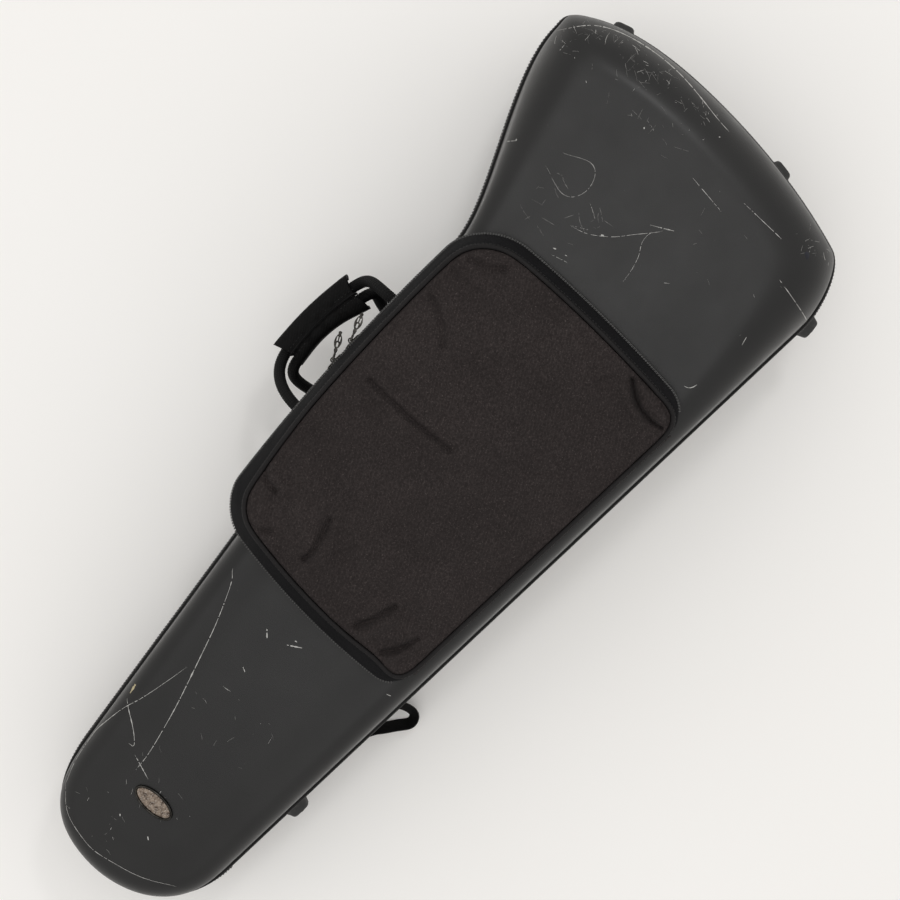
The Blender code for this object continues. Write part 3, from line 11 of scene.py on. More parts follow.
import bmesh
import bpy
import numpy as np
from mathutils import Matrix, Vector, noise
from mathutils.bvhtree import BVHTree
from mathutils.geometry import delaunay_2d_cdt, interpolate_bezier


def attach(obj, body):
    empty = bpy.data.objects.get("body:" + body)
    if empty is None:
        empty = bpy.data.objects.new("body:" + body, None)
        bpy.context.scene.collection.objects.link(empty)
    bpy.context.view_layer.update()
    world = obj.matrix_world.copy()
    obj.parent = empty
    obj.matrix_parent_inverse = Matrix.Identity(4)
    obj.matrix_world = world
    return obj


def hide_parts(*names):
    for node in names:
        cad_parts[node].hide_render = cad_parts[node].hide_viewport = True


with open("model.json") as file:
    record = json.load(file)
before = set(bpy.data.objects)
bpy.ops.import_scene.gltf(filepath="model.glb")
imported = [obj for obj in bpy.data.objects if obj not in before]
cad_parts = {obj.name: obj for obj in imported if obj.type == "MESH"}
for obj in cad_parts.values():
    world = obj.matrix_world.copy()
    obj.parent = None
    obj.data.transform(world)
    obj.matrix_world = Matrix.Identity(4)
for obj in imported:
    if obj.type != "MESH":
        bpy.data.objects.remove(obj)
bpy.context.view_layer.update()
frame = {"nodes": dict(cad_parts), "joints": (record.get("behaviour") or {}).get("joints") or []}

# Sizes of the solids, in metres
CASE_LENGTH = 0.9635
BELL_WIDTH = 0.3745
TAPER_START = (0.086, 0.193)
TAPER_END = (0.595, 0.2805)
FLARE_FOOT = (0.700, 0.294)
SHOULDER_X = 0.9005
BELL_CORNER = (0.9325, 0.354)
BELL_CROWN_Y = 0.191
HINGE_CORNER = (0.9445, 0.036)
HINGE_BELL_X = 0.870
HINGE_HEEL_X = 0.093
HEEL_TIP_Y = 0.101
SPINE_HEEL = (0.105, 0.100)
SPINE_BELL = (0.7985, 0.191)
WALL = 0.003
BACK_DEPTHS = (0.075, 0.150)
FRONT_DEPTHS = (0.055, 0.115)
EDGE_RADIUS_SIDE = 0.021
EDGE_RADIUS_BELL = 0.056
EDGE_SWELL_X = 0.7185
EDGE_SWELL_LENGTH = 0.210
DRAFT = math.radians(6.0)
FRONT_CROWN = 0.003
CROWN_SHARE = 0.45
FIT_GAP = 0.0003
TAPE_THICKNESS = 0.0012
TAPE_HEIGHT = 0.012
TEETH_REACH = 0.0030
TRIM_HEIGHT = 0.006
TRIM_REACH = 0.0026
HINGE_THICKNESS = 0.0018
SLIDER_A_X = 0.403
SLIDER_PITCH = 0.026
SLIDER_LENGTH = 0.017
SLIDER_TOP = 0.0055
SLIDER_BOTTOM = 0.0070
SLIDER_PLATE = 0.0016
SLIDER_GAP = 0.0005
BRIDGE_RADIUS = 0.0015
BRIDGE_THICKNESS = 0.0013
BAR_HEIGHT = 0.0012
PULL_LENGTH = 0.028
PULL_WIDTH = 0.007
FOOT_SIZE = (0.030, 0.024)
FOOT_REACH = 0.0165
FOOT_DROP = 0.034
HANDLE_X = 0.539
LOOP_RADIUS = 0.0058
LOOP_SPANS = {"front": 0.138, "rear": 0.106}
LOOP_ANCHOR_Z = 0.036
LOOP_GRIP_Z = 0.0030
LOOP_GRIP_SPREAD = 0.0068
LOOP_SHOULDER = 0.024
GRIP_STANDOFF = 0.058
GRIP_LENGTH = 0.089
GRIP_BOW = 0.004
GRIP_HALF_WIDTH = 0.0205
GRIP_TOP = 0.0165
GRIP_SKIRT = 0.011
GRIP_SKIN = 0.0026
GRIP_WEB = 0.0014
ANCHOR_LENGTH = 0.026
ANCHOR_HEIGHT = 0.020
ANCHOR_THICKNESS = 0.0030
BADGE_SPOT = (0.102, 0.100)
BADGE_SIZE = (0.0215, 0.046)
BADGE_TURN = math.radians(4.3)
POCKET_HEEL_X = 0.3548
POCKET_LENGTH = 0.384
POCKET_HINGE_Y = 0.020
POCKET_WIDTHS = (0.2438, 0.2660)
POCKET_CORNERS = (0.028, 0.048, 0.036, 0.024)
POCKET_BELL_BOW = 0.0075
POCKET_BELL_SLANT = 0.0115
POCKET_HEEL_BOW = 0.0110
POCKET_SIDE_BOW = 0.0095
POCKET_BASE = 0.0022
POCKET_CHAIN = 0.0030
POCKET_CHAIN_WIDTH = 0.0045
POCKET_DEPTH = 0.026
POCKET_WEDGE_REACH = 0.095
POCKET_FOLD_SHARE = 0.30
POCKET_LEANS = (0.0152, 0.0092)
POCKET_CLOTH = 0.0018
POCKET_PIPING = 0.0022
POCKET_SLIDER_REACH = 0.176
POCKET_SLIDER_PITCH = 0.025
POCKET_PULL_ANGLES = {"a": math.radians(27.0), "b": math.radians(19.0)}
LINING_DROP = 0.005
HOLD_STRAP_WIDTH = 0.025
HOLD_STRAP_THICKNESS = 0.0024
SLIDE_STRAP_XS = {"heel": 0.240, "bell": 0.640}
SLIDE_STRAP_SPAN = (0.007, 0.111)
BELL_AXIS_SPOT = (0.9135, 0.2315)
BELL_AXIS_ANGLE = math.radians(10.3)
BELL_STRAP_STATION = 0.245
BELL_STRAP_HALF_LENGTH = 0.046
STRAP_THICKNESS = 0.0055
STRAP_WIDTHS = (0.030, 0.055)
STRAP_XS = (0.350, 0.7585)
STRAP_YS = {"hinge_side": (0.070, 0.105), "handle_side": (0.166, 0.205)}
PATCH_LENGTH = 0.045
PATCH_THICKNESS = 0.0030
LOCK_SIZE = (0.022, 0.036, 0.0045)
WEBBING_WIDTH = 0.025
WEBBING_THICKNESS = 0.0016
WEBBING_LENGTH = 0.060
TAIL_X = 0.304
TAIL_THICKNESS = 0.0036
TAIL_STAND = 0.0062
TAIL_LEAN = math.radians(58)

# Camera, straight above the case
CAMERA_SPOT = (0.0592, -0.0238, 2.0)
CAMERA_TURN = (0.0018, -0.0005, -0.7610)
CAMERA_LENS = 76.0
SENSOR = 36.0


# Frames

UPWARD = Vector((0, 0, 1))


def joint_place(name):
    return Vector(next(item for item in frame["joints"] if item["name"] == name)["pos_m"])


def slope(depths):
    return math.atan((depths[1] - depths[0]) / CASE_LENGTH)


RIM_TILT = slope(BACK_DEPTHS)
HINGE_SPOT = Vector((HINGE_HEEL_X, -(2 * FIT_GAP + max(HINGE_THICKNESS, TRIM_REACH)), 0))
RIM_TURN = Matrix.Rotation(-RIM_TILT, 4, "Y")
RIM = Matrix.Translation(joint_place("lid_hinge") - RIM_TURN @ HINGE_SPOT) @ RIM_TURN
FACE = (
    RIM
    @ Matrix.Translation((0, 0, FRONT_DEPTHS[0] + FRONT_CROWN))
    @ Matrix.Rotation(-slope(FRONT_DEPTHS), 4, "Y")
)
BACK = RIM @ Matrix.Translation((0, 0, -BACK_DEPTHS[0])) @ Matrix.Rotation(RIM_TILT, 4, "Y")


# Finishes

class Finish:
    """A Principled material, with short calls for the nodes that feed it."""

    def __init__(self, name, colour, roughness, **values):
        self.material = bpy.data.materials.new(name)
        self.material.use_nodes = True
        self.material.diffuse_color = (*colour, 1)
        self.tree = self.material.node_tree
        self.shader = self.tree.nodes["Principled BSDF"]
        self.shader.inputs["Base Color"].default_value = (*colour, 1)
        self.shader.inputs["Roughness"].default_value = roughness
        for key, value in values.items():
            self.shader.inputs[key.replace("_", " ").title().replace("Ior", "IOR")].default_value = value

    def add(self, kind, output=0, settings=(), **inputs):
        """A node of a kind; its inputs are values or sockets. Gives one of its outputs."""
        node = self.tree.nodes.new("ShaderNode" + kind)
        for key, value in dict(settings).items():
            setattr(node, key, value)
        for key, value in inputs.items():
            place = int(key[1:]) if key[0] == "i" and key[1:].isdigit() else key.replace("_", " ")
            socket = node.inputs[place]
            if isinstance(value, bpy.types.NodeSocket):
                self.tree.links.new(value, socket)
            else:
                socket.default_value = value
        return node.outputs[output]

    def math(self, operation, first, second=0.0, third=0.5):
        return self.add("Math", settings={"operation": operation}, i0=first, i1=second, i2=third)

    def times(self, first, second):
        return self.math("MULTIPLY", first, second)

    def place(self, local=None):
        """Object coordinates, in a piece's own frame where one is given."""
        spot = self.add("TexCoord", "Object")
        if local is None:
            return spot
        return self.add(
            "Mapping", settings={"vector_type": "TEXTURE"}, Vector=spot, Location=local.translation,
            Rotation=local.to_euler(),
        )

    def strip(self):
        """The piece's own map: metres along it and metres round it."""
        return self.add("UVMap", settings={"uv_map": "strip"})

    def noise(self, vector, scale, detail=3.0, roughness=0.55, distortion=0.0):
        return self.add(
            "TexNoise", "Fac", Vector=vector, Scale=scale, Detail=detail, Roughness=roughness,
            Distortion=distortion,
        )

    def part(self, vector, axis):
        return self.add("SeparateXYZ", axis, Vector=vector)

    def wave(self, vector, axis, pitch):
        """A sine along one axis of a vector, from 0 to 1."""
        turned = self.times(self.part(vector, axis), 2 * math.pi / pitch)
        return self.math("MULTIPLY_ADD", self.math("SINE", turned), 0.5, 0.5)

    def range(self, value, low, high, start=0.0, end=1.0):
        return self.add(
            "MapRange", Value=value, From_Min=low, From_Max=high, To_Min=start, To_Max=end
        )

    def blend(self, share, first, second):
        mix = self.tree.nodes.new("ShaderNodeMix")
        mix.data_type = "RGBA"
        for place, value in ((0, share), (6, first), (7, second)):
            if isinstance(value, bpy.types.NodeSocket):
                self.tree.links.new(value, mix.inputs[place])
            else:
                mix.inputs[place].default_value = (*value, 1) if isinstance(value, tuple) else value
        return mix.outputs[2]

    def colour(self, socket):
        self.tree.links.new(socket, self.shader.inputs["Base Color"])

    def roughness(self, socket):
        self.tree.links.new(socket, self.shader.inputs["Roughness"])

    def bump(self, height, distance, strength=1.0, under=None):
        inputs = {"Height": height, "Distance": distance, "Strength": strength}
        if under is not None:
            inputs["Normal"] = under
        normal = self.add("Bump", **inputs)
        self.tree.links.new(normal, self.shader.inputs["Normal"])
        return normal


def moulded_shell():
    """Dark moulded plastic: fine pebble, cloudy sheen, dust specks and patches of fine scuffs."""
    made = Finish(
        "charcoal moulded shell", (0.0105, 0.0103, 0.0104), 0.44, specular_ior_level=0.28,
        coat_weight=0.16, coat_roughness=0.26,
    )
    spot = made.place(RIM)
    cloud = made.noise(spot, 9.0, 4.0)
    dust = made.noise(spot, 620.0, 2.0)
    dark = made.blend(made.range(cloud, 0.3, 0.7), (0.0078, 0.0077, 0.0079), (0.0118, 0.0116, 0.0117))
    specks = made.range(made.add("TexVoronoi", "Distance", Vector=spot, Scale=190.0), 0.0, 0.05, 1.0, 0.0)
    few = made.range(made.noise(spot, 31.0, 2.0), 0.60, 0.68)
    dusted = made.blend(made.times(specks, few), dark, (0.16, 0.155, 0.15))
    streaks = made.add("Mapping", Vector=spot, Scale=(1.0, 7.0, 2.0), Rotation=(0, 0, 0.55))
    rubbed = made.noise(streaks, 60.0, 5.0, 0.65, 0.4)
    scuff = made.range(rubbed, 0.70, 0.80)
    worn = made.range(cloud, 0.50, 0.66)
    scuffed = made.times(made.times(scuff, worn), 0.6)
    made.colour(made.blend(scuffed, dusted, (0.11, 0.108, 0.106)))
    made.roughness(made.range(made.noise(spot, 26.0, 5.0), 0.25, 0.75, 0.36, 0.50))
    pebble = made.add("TexVoronoi", "Distance", Vector=spot, Scale=1150.0)
    grain = made.math("ADD", made.times(pebble, 0.7), made.times(dust, 0.5))
    soft = made.bump(made.noise(spot, 14.0, 2.0), 0.0016, 0.35)
    made.bump(grain, 0.00022, 0.42, soft)
    return made.material


def woven(name, colour, thread, pitch, roughness, lift=0.00018, slant=0.35, gleam=0.4):
    """A ribbed weave that follows a strip: ribs along it, crossed by a finer thread."""
    made = Finish(name, colour, roughness, specular_ior_level=gleam)
    spot = made.strip()
    ribs = made.wave(spot, 1, pitch)
    across = made.math("MULTIPLY_ADD", made.part(spot, 1), slant, made.part(spot, 0))
    cross = made.math("SINE", made.times(across, 2 * math.pi / (pitch * 0.8)))
    threads = made.math("MULTIPLY_ADD", cross, 0.5, 0.5)
    body = made.place()
    lint = made.range(made.noise(body, 900.0, 3.0), 0.62, 0.72)
    wear = made.range(made.noise(body, 42.0, 4.0), 0.35, 0.7)
    shade = made.blend(made.times(ribs, threads), colour, thread)
    aged = made.blend(made.times(wear, 0.35), shade, tuple(0.6 * c for c in colour))
    made.colour(made.blend(made.times(lint, 0.30), aged, tuple(3.0 * c for c in thread)))
    height = made.math("ADD", ribs, made.times(threads, 0.7))
    made.bump(height, lift, 0.8)
    return made.material


def twill(name, colour, thread, local, pitch=0.0011, lift=0.00020, roughness=0.85, sheen=0.0, gleam=0.3):
    """Cloth with slanted ribs, faded and dusty in patches, laid out in a piece's own frame."""
    made = Finish(
        name, colour, roughness, sheen_weight=sheen, sheen_roughness=0.45, specular_ior_level=gleam
    )
    spot = made.place(local)
    turned = made.add("Mapping", Vector=spot, Rotation=(0, 0, math.radians(38)))
    ribs = made.wave(turned, 0, pitch)
    cross = made.wave(turned, 1, pitch * 0.55)
    fade = made.range(made.noise(spot, 17.0, 5.0, 0.6), 0.3, 0.72)
    lint = made.range(made.noise(spot, 780.0, 3.0), 0.60, 0.72)
    flecks = made.range(made.noise(spot, 460.0, 4.0, 0.75), 0.42, 0.66)
    woven_shade = made.blend(made.times(ribs, flecks), colour, thread)
    faded = made.blend(made.times(fade, 0.45), woven_shade, tuple(0.55 * c for c in colour))
    made.colour(made.blend(made.times(lint, 0.30), faded, tuple(3.0 * c for c in thread)))
    made.roughness(made.range(ribs, 0.0, 1.0, roughness + 0.08, roughness - 0.08))
    soft = made.bump(made.noise(spot, 60.0, 3.0), 0.0012, 0.35)
    made.bump(made.math("ADD", ribs, made.times(cross, 0.4)), lift, 0.75, soft)
    return made.material


def moulded(name, colour, roughness, grain=900.0, lift=0.00008, mark=(0.12, 0.12, 0.12)):
    """Plain moulded rubber or plastic: fine grain, a little greyer in patches."""
    made = Finish(name, colour, roughness)
    spot = made.place()
    grey = made.range(made.noise(spot, 120.0, 4.0), 0.55, 0.8)
    made.colour(made.blend(made.times(grey, 0.35), colour, mark))
    made.roughness(made.range(made.noise(spot, 260.0, 3.0), 0.2, 0.8, roughness - 0.08, roughness + 0.10))
    made.bump(made.noise(spot, grain, 3.0), lift, 0.6)
    return made.material


def metal(name, bright, dull, roughness, patches=180.0):
    """Plated or worn metal, duller in patches."""
    made = Finish(name, bright, roughness, metallic=1.0)
    spot = made.place()
    age = made.range(made.noise(spot, patches, 5.0, 0.65), 0.35, 0.68)
    made.colour(made.blend(age, bright, dull))
    made.roughness(made.range(age, 0.0, 1.0, roughness, roughness + 0.25))
    made.bump(made.noise(spot, 1400.0, 3.0), 0.00005, 0.5)
    return made.material


def mottled_plate():
    """The bare badge plate: cast bronze with brown blotches and pale granules."""
    made = Finish("mottled bronze plate", (0.16, 0.12, 0.09), 0.5, metallic=0.55)
    spot = made.place()
    grains = made.add("TexVoronoi", "Distance", Vector=spot, Scale=620.0)
    blotch = made.noise(spot, 240.0, 4.0, 0.7)
    base = made.blend(made.range(blotch, 0.35, 0.62), (0.055, 0.036, 0.026), (0.30, 0.24, 0.19))
    made.colour(made.blend(made.range(grains, 0.1, 0.5, 0.55, 0.0), base, (0.46, 0.42, 0.38)))
    made.roughness(made.range(grains, 0.0, 0.6, 0.36, 0.62))
    made.bump(made.math("ADD", grains, blotch), 0.00030, 0.8)
    return made.material


def plush():
    """Short velvet pile over foam, brushed in drifting directions."""
    made = Finish(
        "plush padding", (0.016, 0.017, 0.024), 0.95, sheen_weight=0.55, sheen_roughness=0.35
    )
    made.shader.inputs["Sheen Tint"].default_value = (0.55, 0.58, 0.72, 1)
    spot = made.place()
    nap = made.range(made.noise(spot, 34.0, 4.0, 0.6, 0.8), 0.35, 0.65)
    made.colour(made.blend(nap, (0.010, 0.011, 0.016), (0.026, 0.027, 0.038)))
    brushed = made.bump(made.noise(spot, 34.0, 4.0, 0.6, 0.8), 0.0012, 0.4)
    made.bump(made.noise(spot, 1500.0, 2.0), 0.00035, 0.8, brushed)
    return made.material


# what each finish is made of, and the material slot that it fills
FINISHES = {
    "shell": (moulded_shell(), "charcoal_shell"),
    "trim": (
        woven("black edge trim", (0.0045, 0.0044, 0.0045), (0.012, 0.0118, 0.012), 0.001, 0.62, gleam=0.25),
        "black_edge_trim",
    ),
    "tape": (
        woven(
            "woven zip tape", (0.007, 0.0062, 0.006), (0.019, 0.017, 0.0165), 0.0008, 0.85,
            slant=1.0, gleam=0.15,
        ),
        "zip_tape",
    ),
    "teeth": (moulded("nylon teeth", (0.03, 0.029, 0.028), 0.26, mark=(0.07, 0.07, 0.07)), "zip_tape"),
    "stitches": (
        moulded("waxed thread", (0.016, 0.0155, 0.016), 0.6, mark=(0.03, 0.03, 0.03)),
        "pocket_cloth",
    ),
    "cloth": (
        twill(
            "pocket cloth", (0.0175, 0.0135, 0.0132), (0.06, 0.049, 0.0475), FACE, 0.0013, 0.00022,
            sheen=0.03, gleam=0.18,
        ),
        "pocket_cloth",
    ),
    "piping": (
        woven("pocket piping", (0.008, 0.0073, 0.0076), (0.0225, 0.0208, 0.0212), 0.0012, 0.62, gleam=0.16),
        "pocket_piping",
    ),
    "side cloth": (
        woven(
            "pocket side cloth", (0.0042, 0.0041, 0.0047), (0.0125, 0.0122, 0.0136), 0.0011, 0.8,
            gleam=0.14,
        ),
        "pocket_cloth",
    ),
    "webbing": (
        woven("black webbing", (0.004, 0.004, 0.0042), (0.013, 0.0128, 0.013), 0.002, 0.72, gleam=0.16),
        "black_webbing",
    ),
    "grip": (
        twill(
            "grip cloth", (0.0034, 0.0033, 0.0034), (0.0105, 0.0102, 0.0105), RIM, 0.0016, 0.00025,
            0.66, 0.0, 0.1,
        ),
        "grip_cloth",
    ),
    "strap": (
        twill("strap cloth", (0.007, 0.007, 0.0074), (0.019, 0.0188, 0.0195), BACK, 0.0012, gleam=0.2),
        "pocket_cloth",
    ),
    "rubber": (moulded("black rubber", (0.016, 0.016, 0.016), 0.62, 700.0, 0.00014), "black_rubber"),
    "plastic": (moulded("black plastic", (0.018, 0.018, 0.018), 0.42), "black_plastic"),
    "nickel": (metal("dark nickel", (0.2, 0.19, 0.175), (0.05, 0.046, 0.042), 0.28), "dark_nickel"),
    "antique": (
        metal("antique nickel", (0.055, 0.052, 0.047), (0.012, 0.011, 0.01), 0.24),
        "antique_silver",
    ),
    "bronze": (mottled_plate(), "mottled_bronze"),
    "padding": (plush(), "plush_padding"),
    "mark": (moulded("rubbed pale plastic", (0.42, 0.415, 0.4), 0.6, 500.0, 0.0001), "charcoal_shell"),
    "faint mark": (
        moulded("faintly rubbed plastic", (0.15, 0.148, 0.143), 0.6, 500.0, 0.0001),
        "charcoal_shell",
    ),
    "yellow mark": (moulded("yellowed scuff", (0.42, 0.36, 0.22), 0.6, 500.0, 0.0001), "charcoal_shell"),
}


# Pieces and shapes

def new_object(name, data):
    """An object of the scene that holds a mesh, a lamp or a camera."""
    made = bpy.data.objects.new(name, data)
    bpy.context.scene.collection.objects.link(made)
    return made


def settled(carrier):
    """The plain mesh that an object's modifiers make of it; the object itself is removed."""
    graph = bpy.context.evaluated_depsgraph_get()
    mesh = bpy.data.meshes.new_from_object(carrier.evaluated_get(graph))
    carrier.modifiers.clear()
    bpy.data.objects.remove(carrier)
    return mesh


def add_piece(name, shape, finish, body, place=None, stands_for=(), angle=35.0):
    """Makes a bmesh or a mesh a piece of the case that rides on a body.

    `place` is where its own frame stands, `stands_for` the solids that it takes the place of, and
    edges steeper than `angle` degrees stay sharp.
    """
    if isinstance(shape, bmesh.types.BMesh):
        mesh = bpy.data.meshes.new(name)
        bmesh.ops.recalc_face_normals(shape, faces=shape.faces)
        shape.to_mesh(mesh)
        shape.free()
    else:
        mesh = shape
        mesh.name = name
    if place is not None:
        mesh.transform(place)
    mesh.materials.clear()
    mesh.materials.append(FINISHES[finish][0])
    mesh.shade_smooth()
    mesh.set_sharp_from_angle(angle=math.radians(angle))
    piece = new_object(name, mesh)
    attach(piece, body)
    if stands_for:
        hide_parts(*stands_for)
    return piece


def loft(rings, cap_start=True, cap_end=True, closed=True, round_again=False):
    """A skin through rings of equally many points, with a map in metres along it and round it."""
    shape = bmesh.new()
    strip = shape.loops.layers.uv.new("strip")
    grid = [[shape.verts.new(point) for point in ring] for ring in rings]
    if round_again:
        grid.append(grid[0])
    count = len(grid[0])
    along = [0.0]
    for lower, upper in zip(grid, grid[1:]):
        along.append(along[-1] + sum((a.co - b.co).length for a, b in zip(lower, upper)) / count)
    around = [0.0]
    girth = grid[len(grid) // 2]
    for i in range(count):
        around.append(around[-1] + (girth[i].co - girth[(i + 1) % count].co).length)
    for k, (lower, upper) in enumerate(zip(grid, grid[1:])):
        for i in range(count if closed else count - 1):
            j = (i + 1) % count
            face = shape.faces.new((lower[i], lower[j], upper[j], upper[i]))
            spots = ((k, i), (k, i + 1), (k + 1, i + 1), (k + 1, i))
            for corner, (a, b) in zip(face.loops, spots):
                corner[strip].uv = (along[a], around[b])
    for ring, wanted, at in ((grid[0][::-1], cap_start, 0), (grid[-1], cap_end, -1)):
        if wanted and not round_again:
            face = shape.faces.new(ring)
            for i, corner in enumerate(face.loops):
                corner[strip].uv = (along[at], around[i])
    return shape


def sweep(path, sections, up=(0, 0, 1), closed=False):
    """Carries a section, or one section for each point, along a path.

    A section point is (a, b): a sideways, to the right of the path, and b along `up`.
    """
    path = [Vector(point) for point in path]
    if not isinstance(sections[0][0], (tuple, list)):
        sections = [sections] * len(path)
    rings = []
    for i, point in enumerate(path):
        if closed:
            before, after = path[i - 1], path[(i + 1) % len(path)]
        else:
            before, after = path[max(i - 1, 0)], path[min(i + 1, len(path) - 1)]
        along = (after - before).normalized()
        side = along.cross(Vector(up)).normalized()
        rise = side.cross(along)
        rings.append([point + side * a + rise * b for a, b in sections[i]])
    return loft(rings, round_again=closed)


def circle(radius, count, squash=1.0):
    turn = 2 * math.pi / count
    return [
        (radius * math.cos(turn * i), radius * squash * math.sin(turn * i)) for i in range(count)
    ]


def rounded_rectangle(low, high, radius, steps=4):
    """Points counter-clockwise round a rectangle between two corners (x, y), its own rounded."""
    centres = (
        (high[0] - radius, high[1] - radius),
        (low[0] + radius, high[1] - radius),
        (low[0] + radius, low[1] + radius),
        (high[0] - radius, low[1] + radius),
    )
    points = []
    for quarter, (x, y) in enumerate(centres):
        for step in range(steps + 1):
            angle = math.pi / 2 * (quarter + step / steps)
            points.append((x + radius * math.cos(angle), y + radius * math.sin(angle)))
    return points


def even(points, spacing, closed=False):
    """The same line with its points the same distance apart."""
    points = [Vector(point) for point in points]
    if closed:
        points.append(points[0])
    lengths = [0.0]
    for a, b in zip(points, points[1:]):
        lengths.append(lengths[-1] + (b - a).length)
    count = max(round(lengths[-1] / spacing), 2)
    placed = []
    k = 0
    for step in range(count + (0 if closed else 1)):
        along = lengths[-1] * step / count
        while k < len(points) - 2 and lengths[k + 1] < along:
            k += 1
        share = (along - lengths[k]) / max(lengths[k + 1] - lengths[k], 1e-9)
        placed.append(points[k].lerp(points[k + 1], min(share, 1.0)))
    return placed


def bezier_path(knots, steps):
    """Points through knots of (place, way in, way out), each way a vector."""
    points = []
    for (start, _, leave), (end, arrive, _), count in zip(knots, knots[1:], steps):
        points += interpolate_bezier(start, start + leave, end - arrive, end, count + 1)[:-1]
    return points + [Vector(knots[-1][0])]


def through(points, steps=12, pull=0.17):
    """A smooth line through all the given places; it bends the wider the more they pull."""
    knots = [Vector(point) for point in points]
    ways = [b - a for a, b in zip(knots[:1] + knots[:-1], knots[1:] + knots[-1:])]
    curved = [(knot, way * pull, way * pull) for knot, way in zip(knots, ways)]
    return bezier_path(curved, [steps] * (len(knots) - 1))


def smoothstep(value, low=0.0, high=1.0):
    value = min(max((value - low) / (high - low), 0), 1)
    return value * value * (3 - 2 * value)


def slab(outline, low, high, soft, sides=3):
    """A flat piece whose edges are rounded over by `soft`; the outline is counter-clockwise."""
    count = len(outline)
    middle = sum((Vector(p) for p in outline), Vector((0, 0))) / count
    normals = []
    for i in range(count):
        way = Vector(outline[(i + 1) % count]) - Vector(outline[i - 1])
        normals.append(Vector((way.y, -way.x)).normalized())
    rings = []
    steps = [(math.pi / 2 * k / sides) for k in range(sides + 1)]
    levels = [(soft * (1 - math.sin(a)), low + soft * (1 - math.cos(a))) for a in steps]
    levels += [(inset, high - (height - low)) for inset, height in levels[::-1]]
    for inset, height in levels:
        ring = [Vector(p) - n * inset for p, n in zip(outline, normals)]
        rings.append([(x, y, height) for x, y in ring])
    shape = loft(rings, cap_start=False, cap_end=False)
    shape.verts.ensure_lookup_table()
    ends = (shape.verts[:count], shape.verts[-count:])
    for ring, flip in zip(ends, (True, False)):
        hub = shape.verts.new((middle.x, middle.y, ring[0].co.z))
        for i in range(count):
            face = (ring[i], ring[(i + 1) % count], hub)
            shape.faces.new(face[::-1] if flip else face)
    return shape


def row_tree():
    """Copies of one shape at an even pitch along a path: x outward, y down, z along the path."""
    tree = bpy.data.node_groups.new("row along a path", "GeometryNodeTree")
    sides = tree.interface
    sockets = {}
    for name, kind in (
        ("Path", "Geometry"),
        ("Copied shape", "Object"),
        ("Pitch", "Float"),
        ("Start", "Float"),
        ("Uneven turn", "Vector"),
        ("Finish", "Material"),
    ):
        sockets[name] = sides.new_socket(name, in_out="INPUT", socket_type="NodeSocket" + kind).identifier
    sides.new_socket("Row", in_out="OUTPUT", socket_type="NodeSocketGeometry")
    made = {}
    for key, kind in (
        ("ends", "NodeGroupInput"),
        ("line", "GeometryNodeMeshToCurve"),
        ("upright", "GeometryNodeSetCurveNormal"),
        ("trim", "GeometryNodeTrimCurve"),
        ("spots", "GeometryNodeCurveToPoints"),
        ("shape", "GeometryNodeObjectInfo"),
        ("copies", "GeometryNodeInstanceOnPoints"),
        ("chance", "FunctionNodeRandomValue"),
        ("negative", "ShaderNodeVectorMath"),
        ("turned", "GeometryNodeRotateInstances"),
        ("real", "GeometryNodeRealizeInstances"),
        ("finish", "GeometryNodeSetMaterial"),
        ("out", "NodeGroupOutput"),
    ):
        made[key] = tree.nodes.new(kind)
    made["upright"].mode = "Z_UP"
    made["trim"].mode = "LENGTH"
    made["spots"].mode = "LENGTH"
    made["chance"].data_type = "FLOAT_VECTOR"
    made["negative"].operation = "SCALE"
    made["negative"].inputs["Scale"].default_value = -1
    made["trim"].inputs[5].default_value = 1000

    def join(a, output, b, place):
        tree.links.new(made[a].outputs[output], made[b].inputs[place])

    join("ends", "Path", "line", "Mesh")
    join("line", "Curve", "upright", "Curve")
    join("upright", "Curve", "trim", "Curve")
    join("ends", "Start", "trim", 4)
    join("trim", "Curve", "spots", "Curve")
    join("ends", "Pitch", "spots", "Length")
    join("ends", "Copied shape", "shape", "Object")
    join("spots", "Points", "copies", "Points")
    join("spots", "Rotation", "copies", "Rotation")
    join("shape", "Geometry", "copies", "Instance")
    join("ends", "Uneven turn", "chance", 1)
    join("ends", "Uneven turn", "negative", 0)
    join("negative", 0, "chance", 0)
    made["chance"].inputs["Seed"].default_value = 11
    join("copies", "Instances", "turned", "Instances")
    join("chance", 0, "turned", "Rotation")
    join("turned", "Instances", "real", "Geometry")
    join("real", "Geometry", "finish", "Geometry")
    join("ends", "Finish", "finish", "Material")
    join("finish", "Geometry", "out", "Row")
    return tree, sockets


ROW_TREE, ROW_SOCKETS = row_tree()


def add_row(name, path, shape, finish, body, pitch, start=0.0, place=None, closed=False, uneven=(0, 0, 0)):
    """A row of small copies of a shape along a path, as one piece."""
    line = bpy.data.meshes.new(name + " path")
    edges = [(i, i + 1) for i in range(len(path) - 1)]
    if closed:
        edges.append((len(path) - 1, 0))
    line.from_pydata([Vector(p) for p in path], edges, [])
    carrier = new_object(name + " path", line)
    pattern = bpy.data.meshes.new(name + " shape")
    bmesh.ops.recalc_face_normals(shape, faces=shape.faces)
    shape.to_mesh(pattern)
    shape.free()
    original = bpy.data.objects.new(name + " shape", pattern)
    step = carrier.modifiers.new("row", "NODES")
    step.node_group = ROW_TREE
    step[ROW_SOCKETS["Copied shape"]] = original
    step[ROW_SOCKETS["Pitch"]] = pitch
    step[ROW_SOCKETS["Start"]] = start
    step[ROW_SOCKETS["Uneven turn"]] = uneven
    step[ROW_SOCKETS["Finish"]] = FINISHES[finish][0]
    mesh = settled(carrier)
    bpy.data.objects.remove(original)
    return add_piece(name, mesh, finish, body, place)


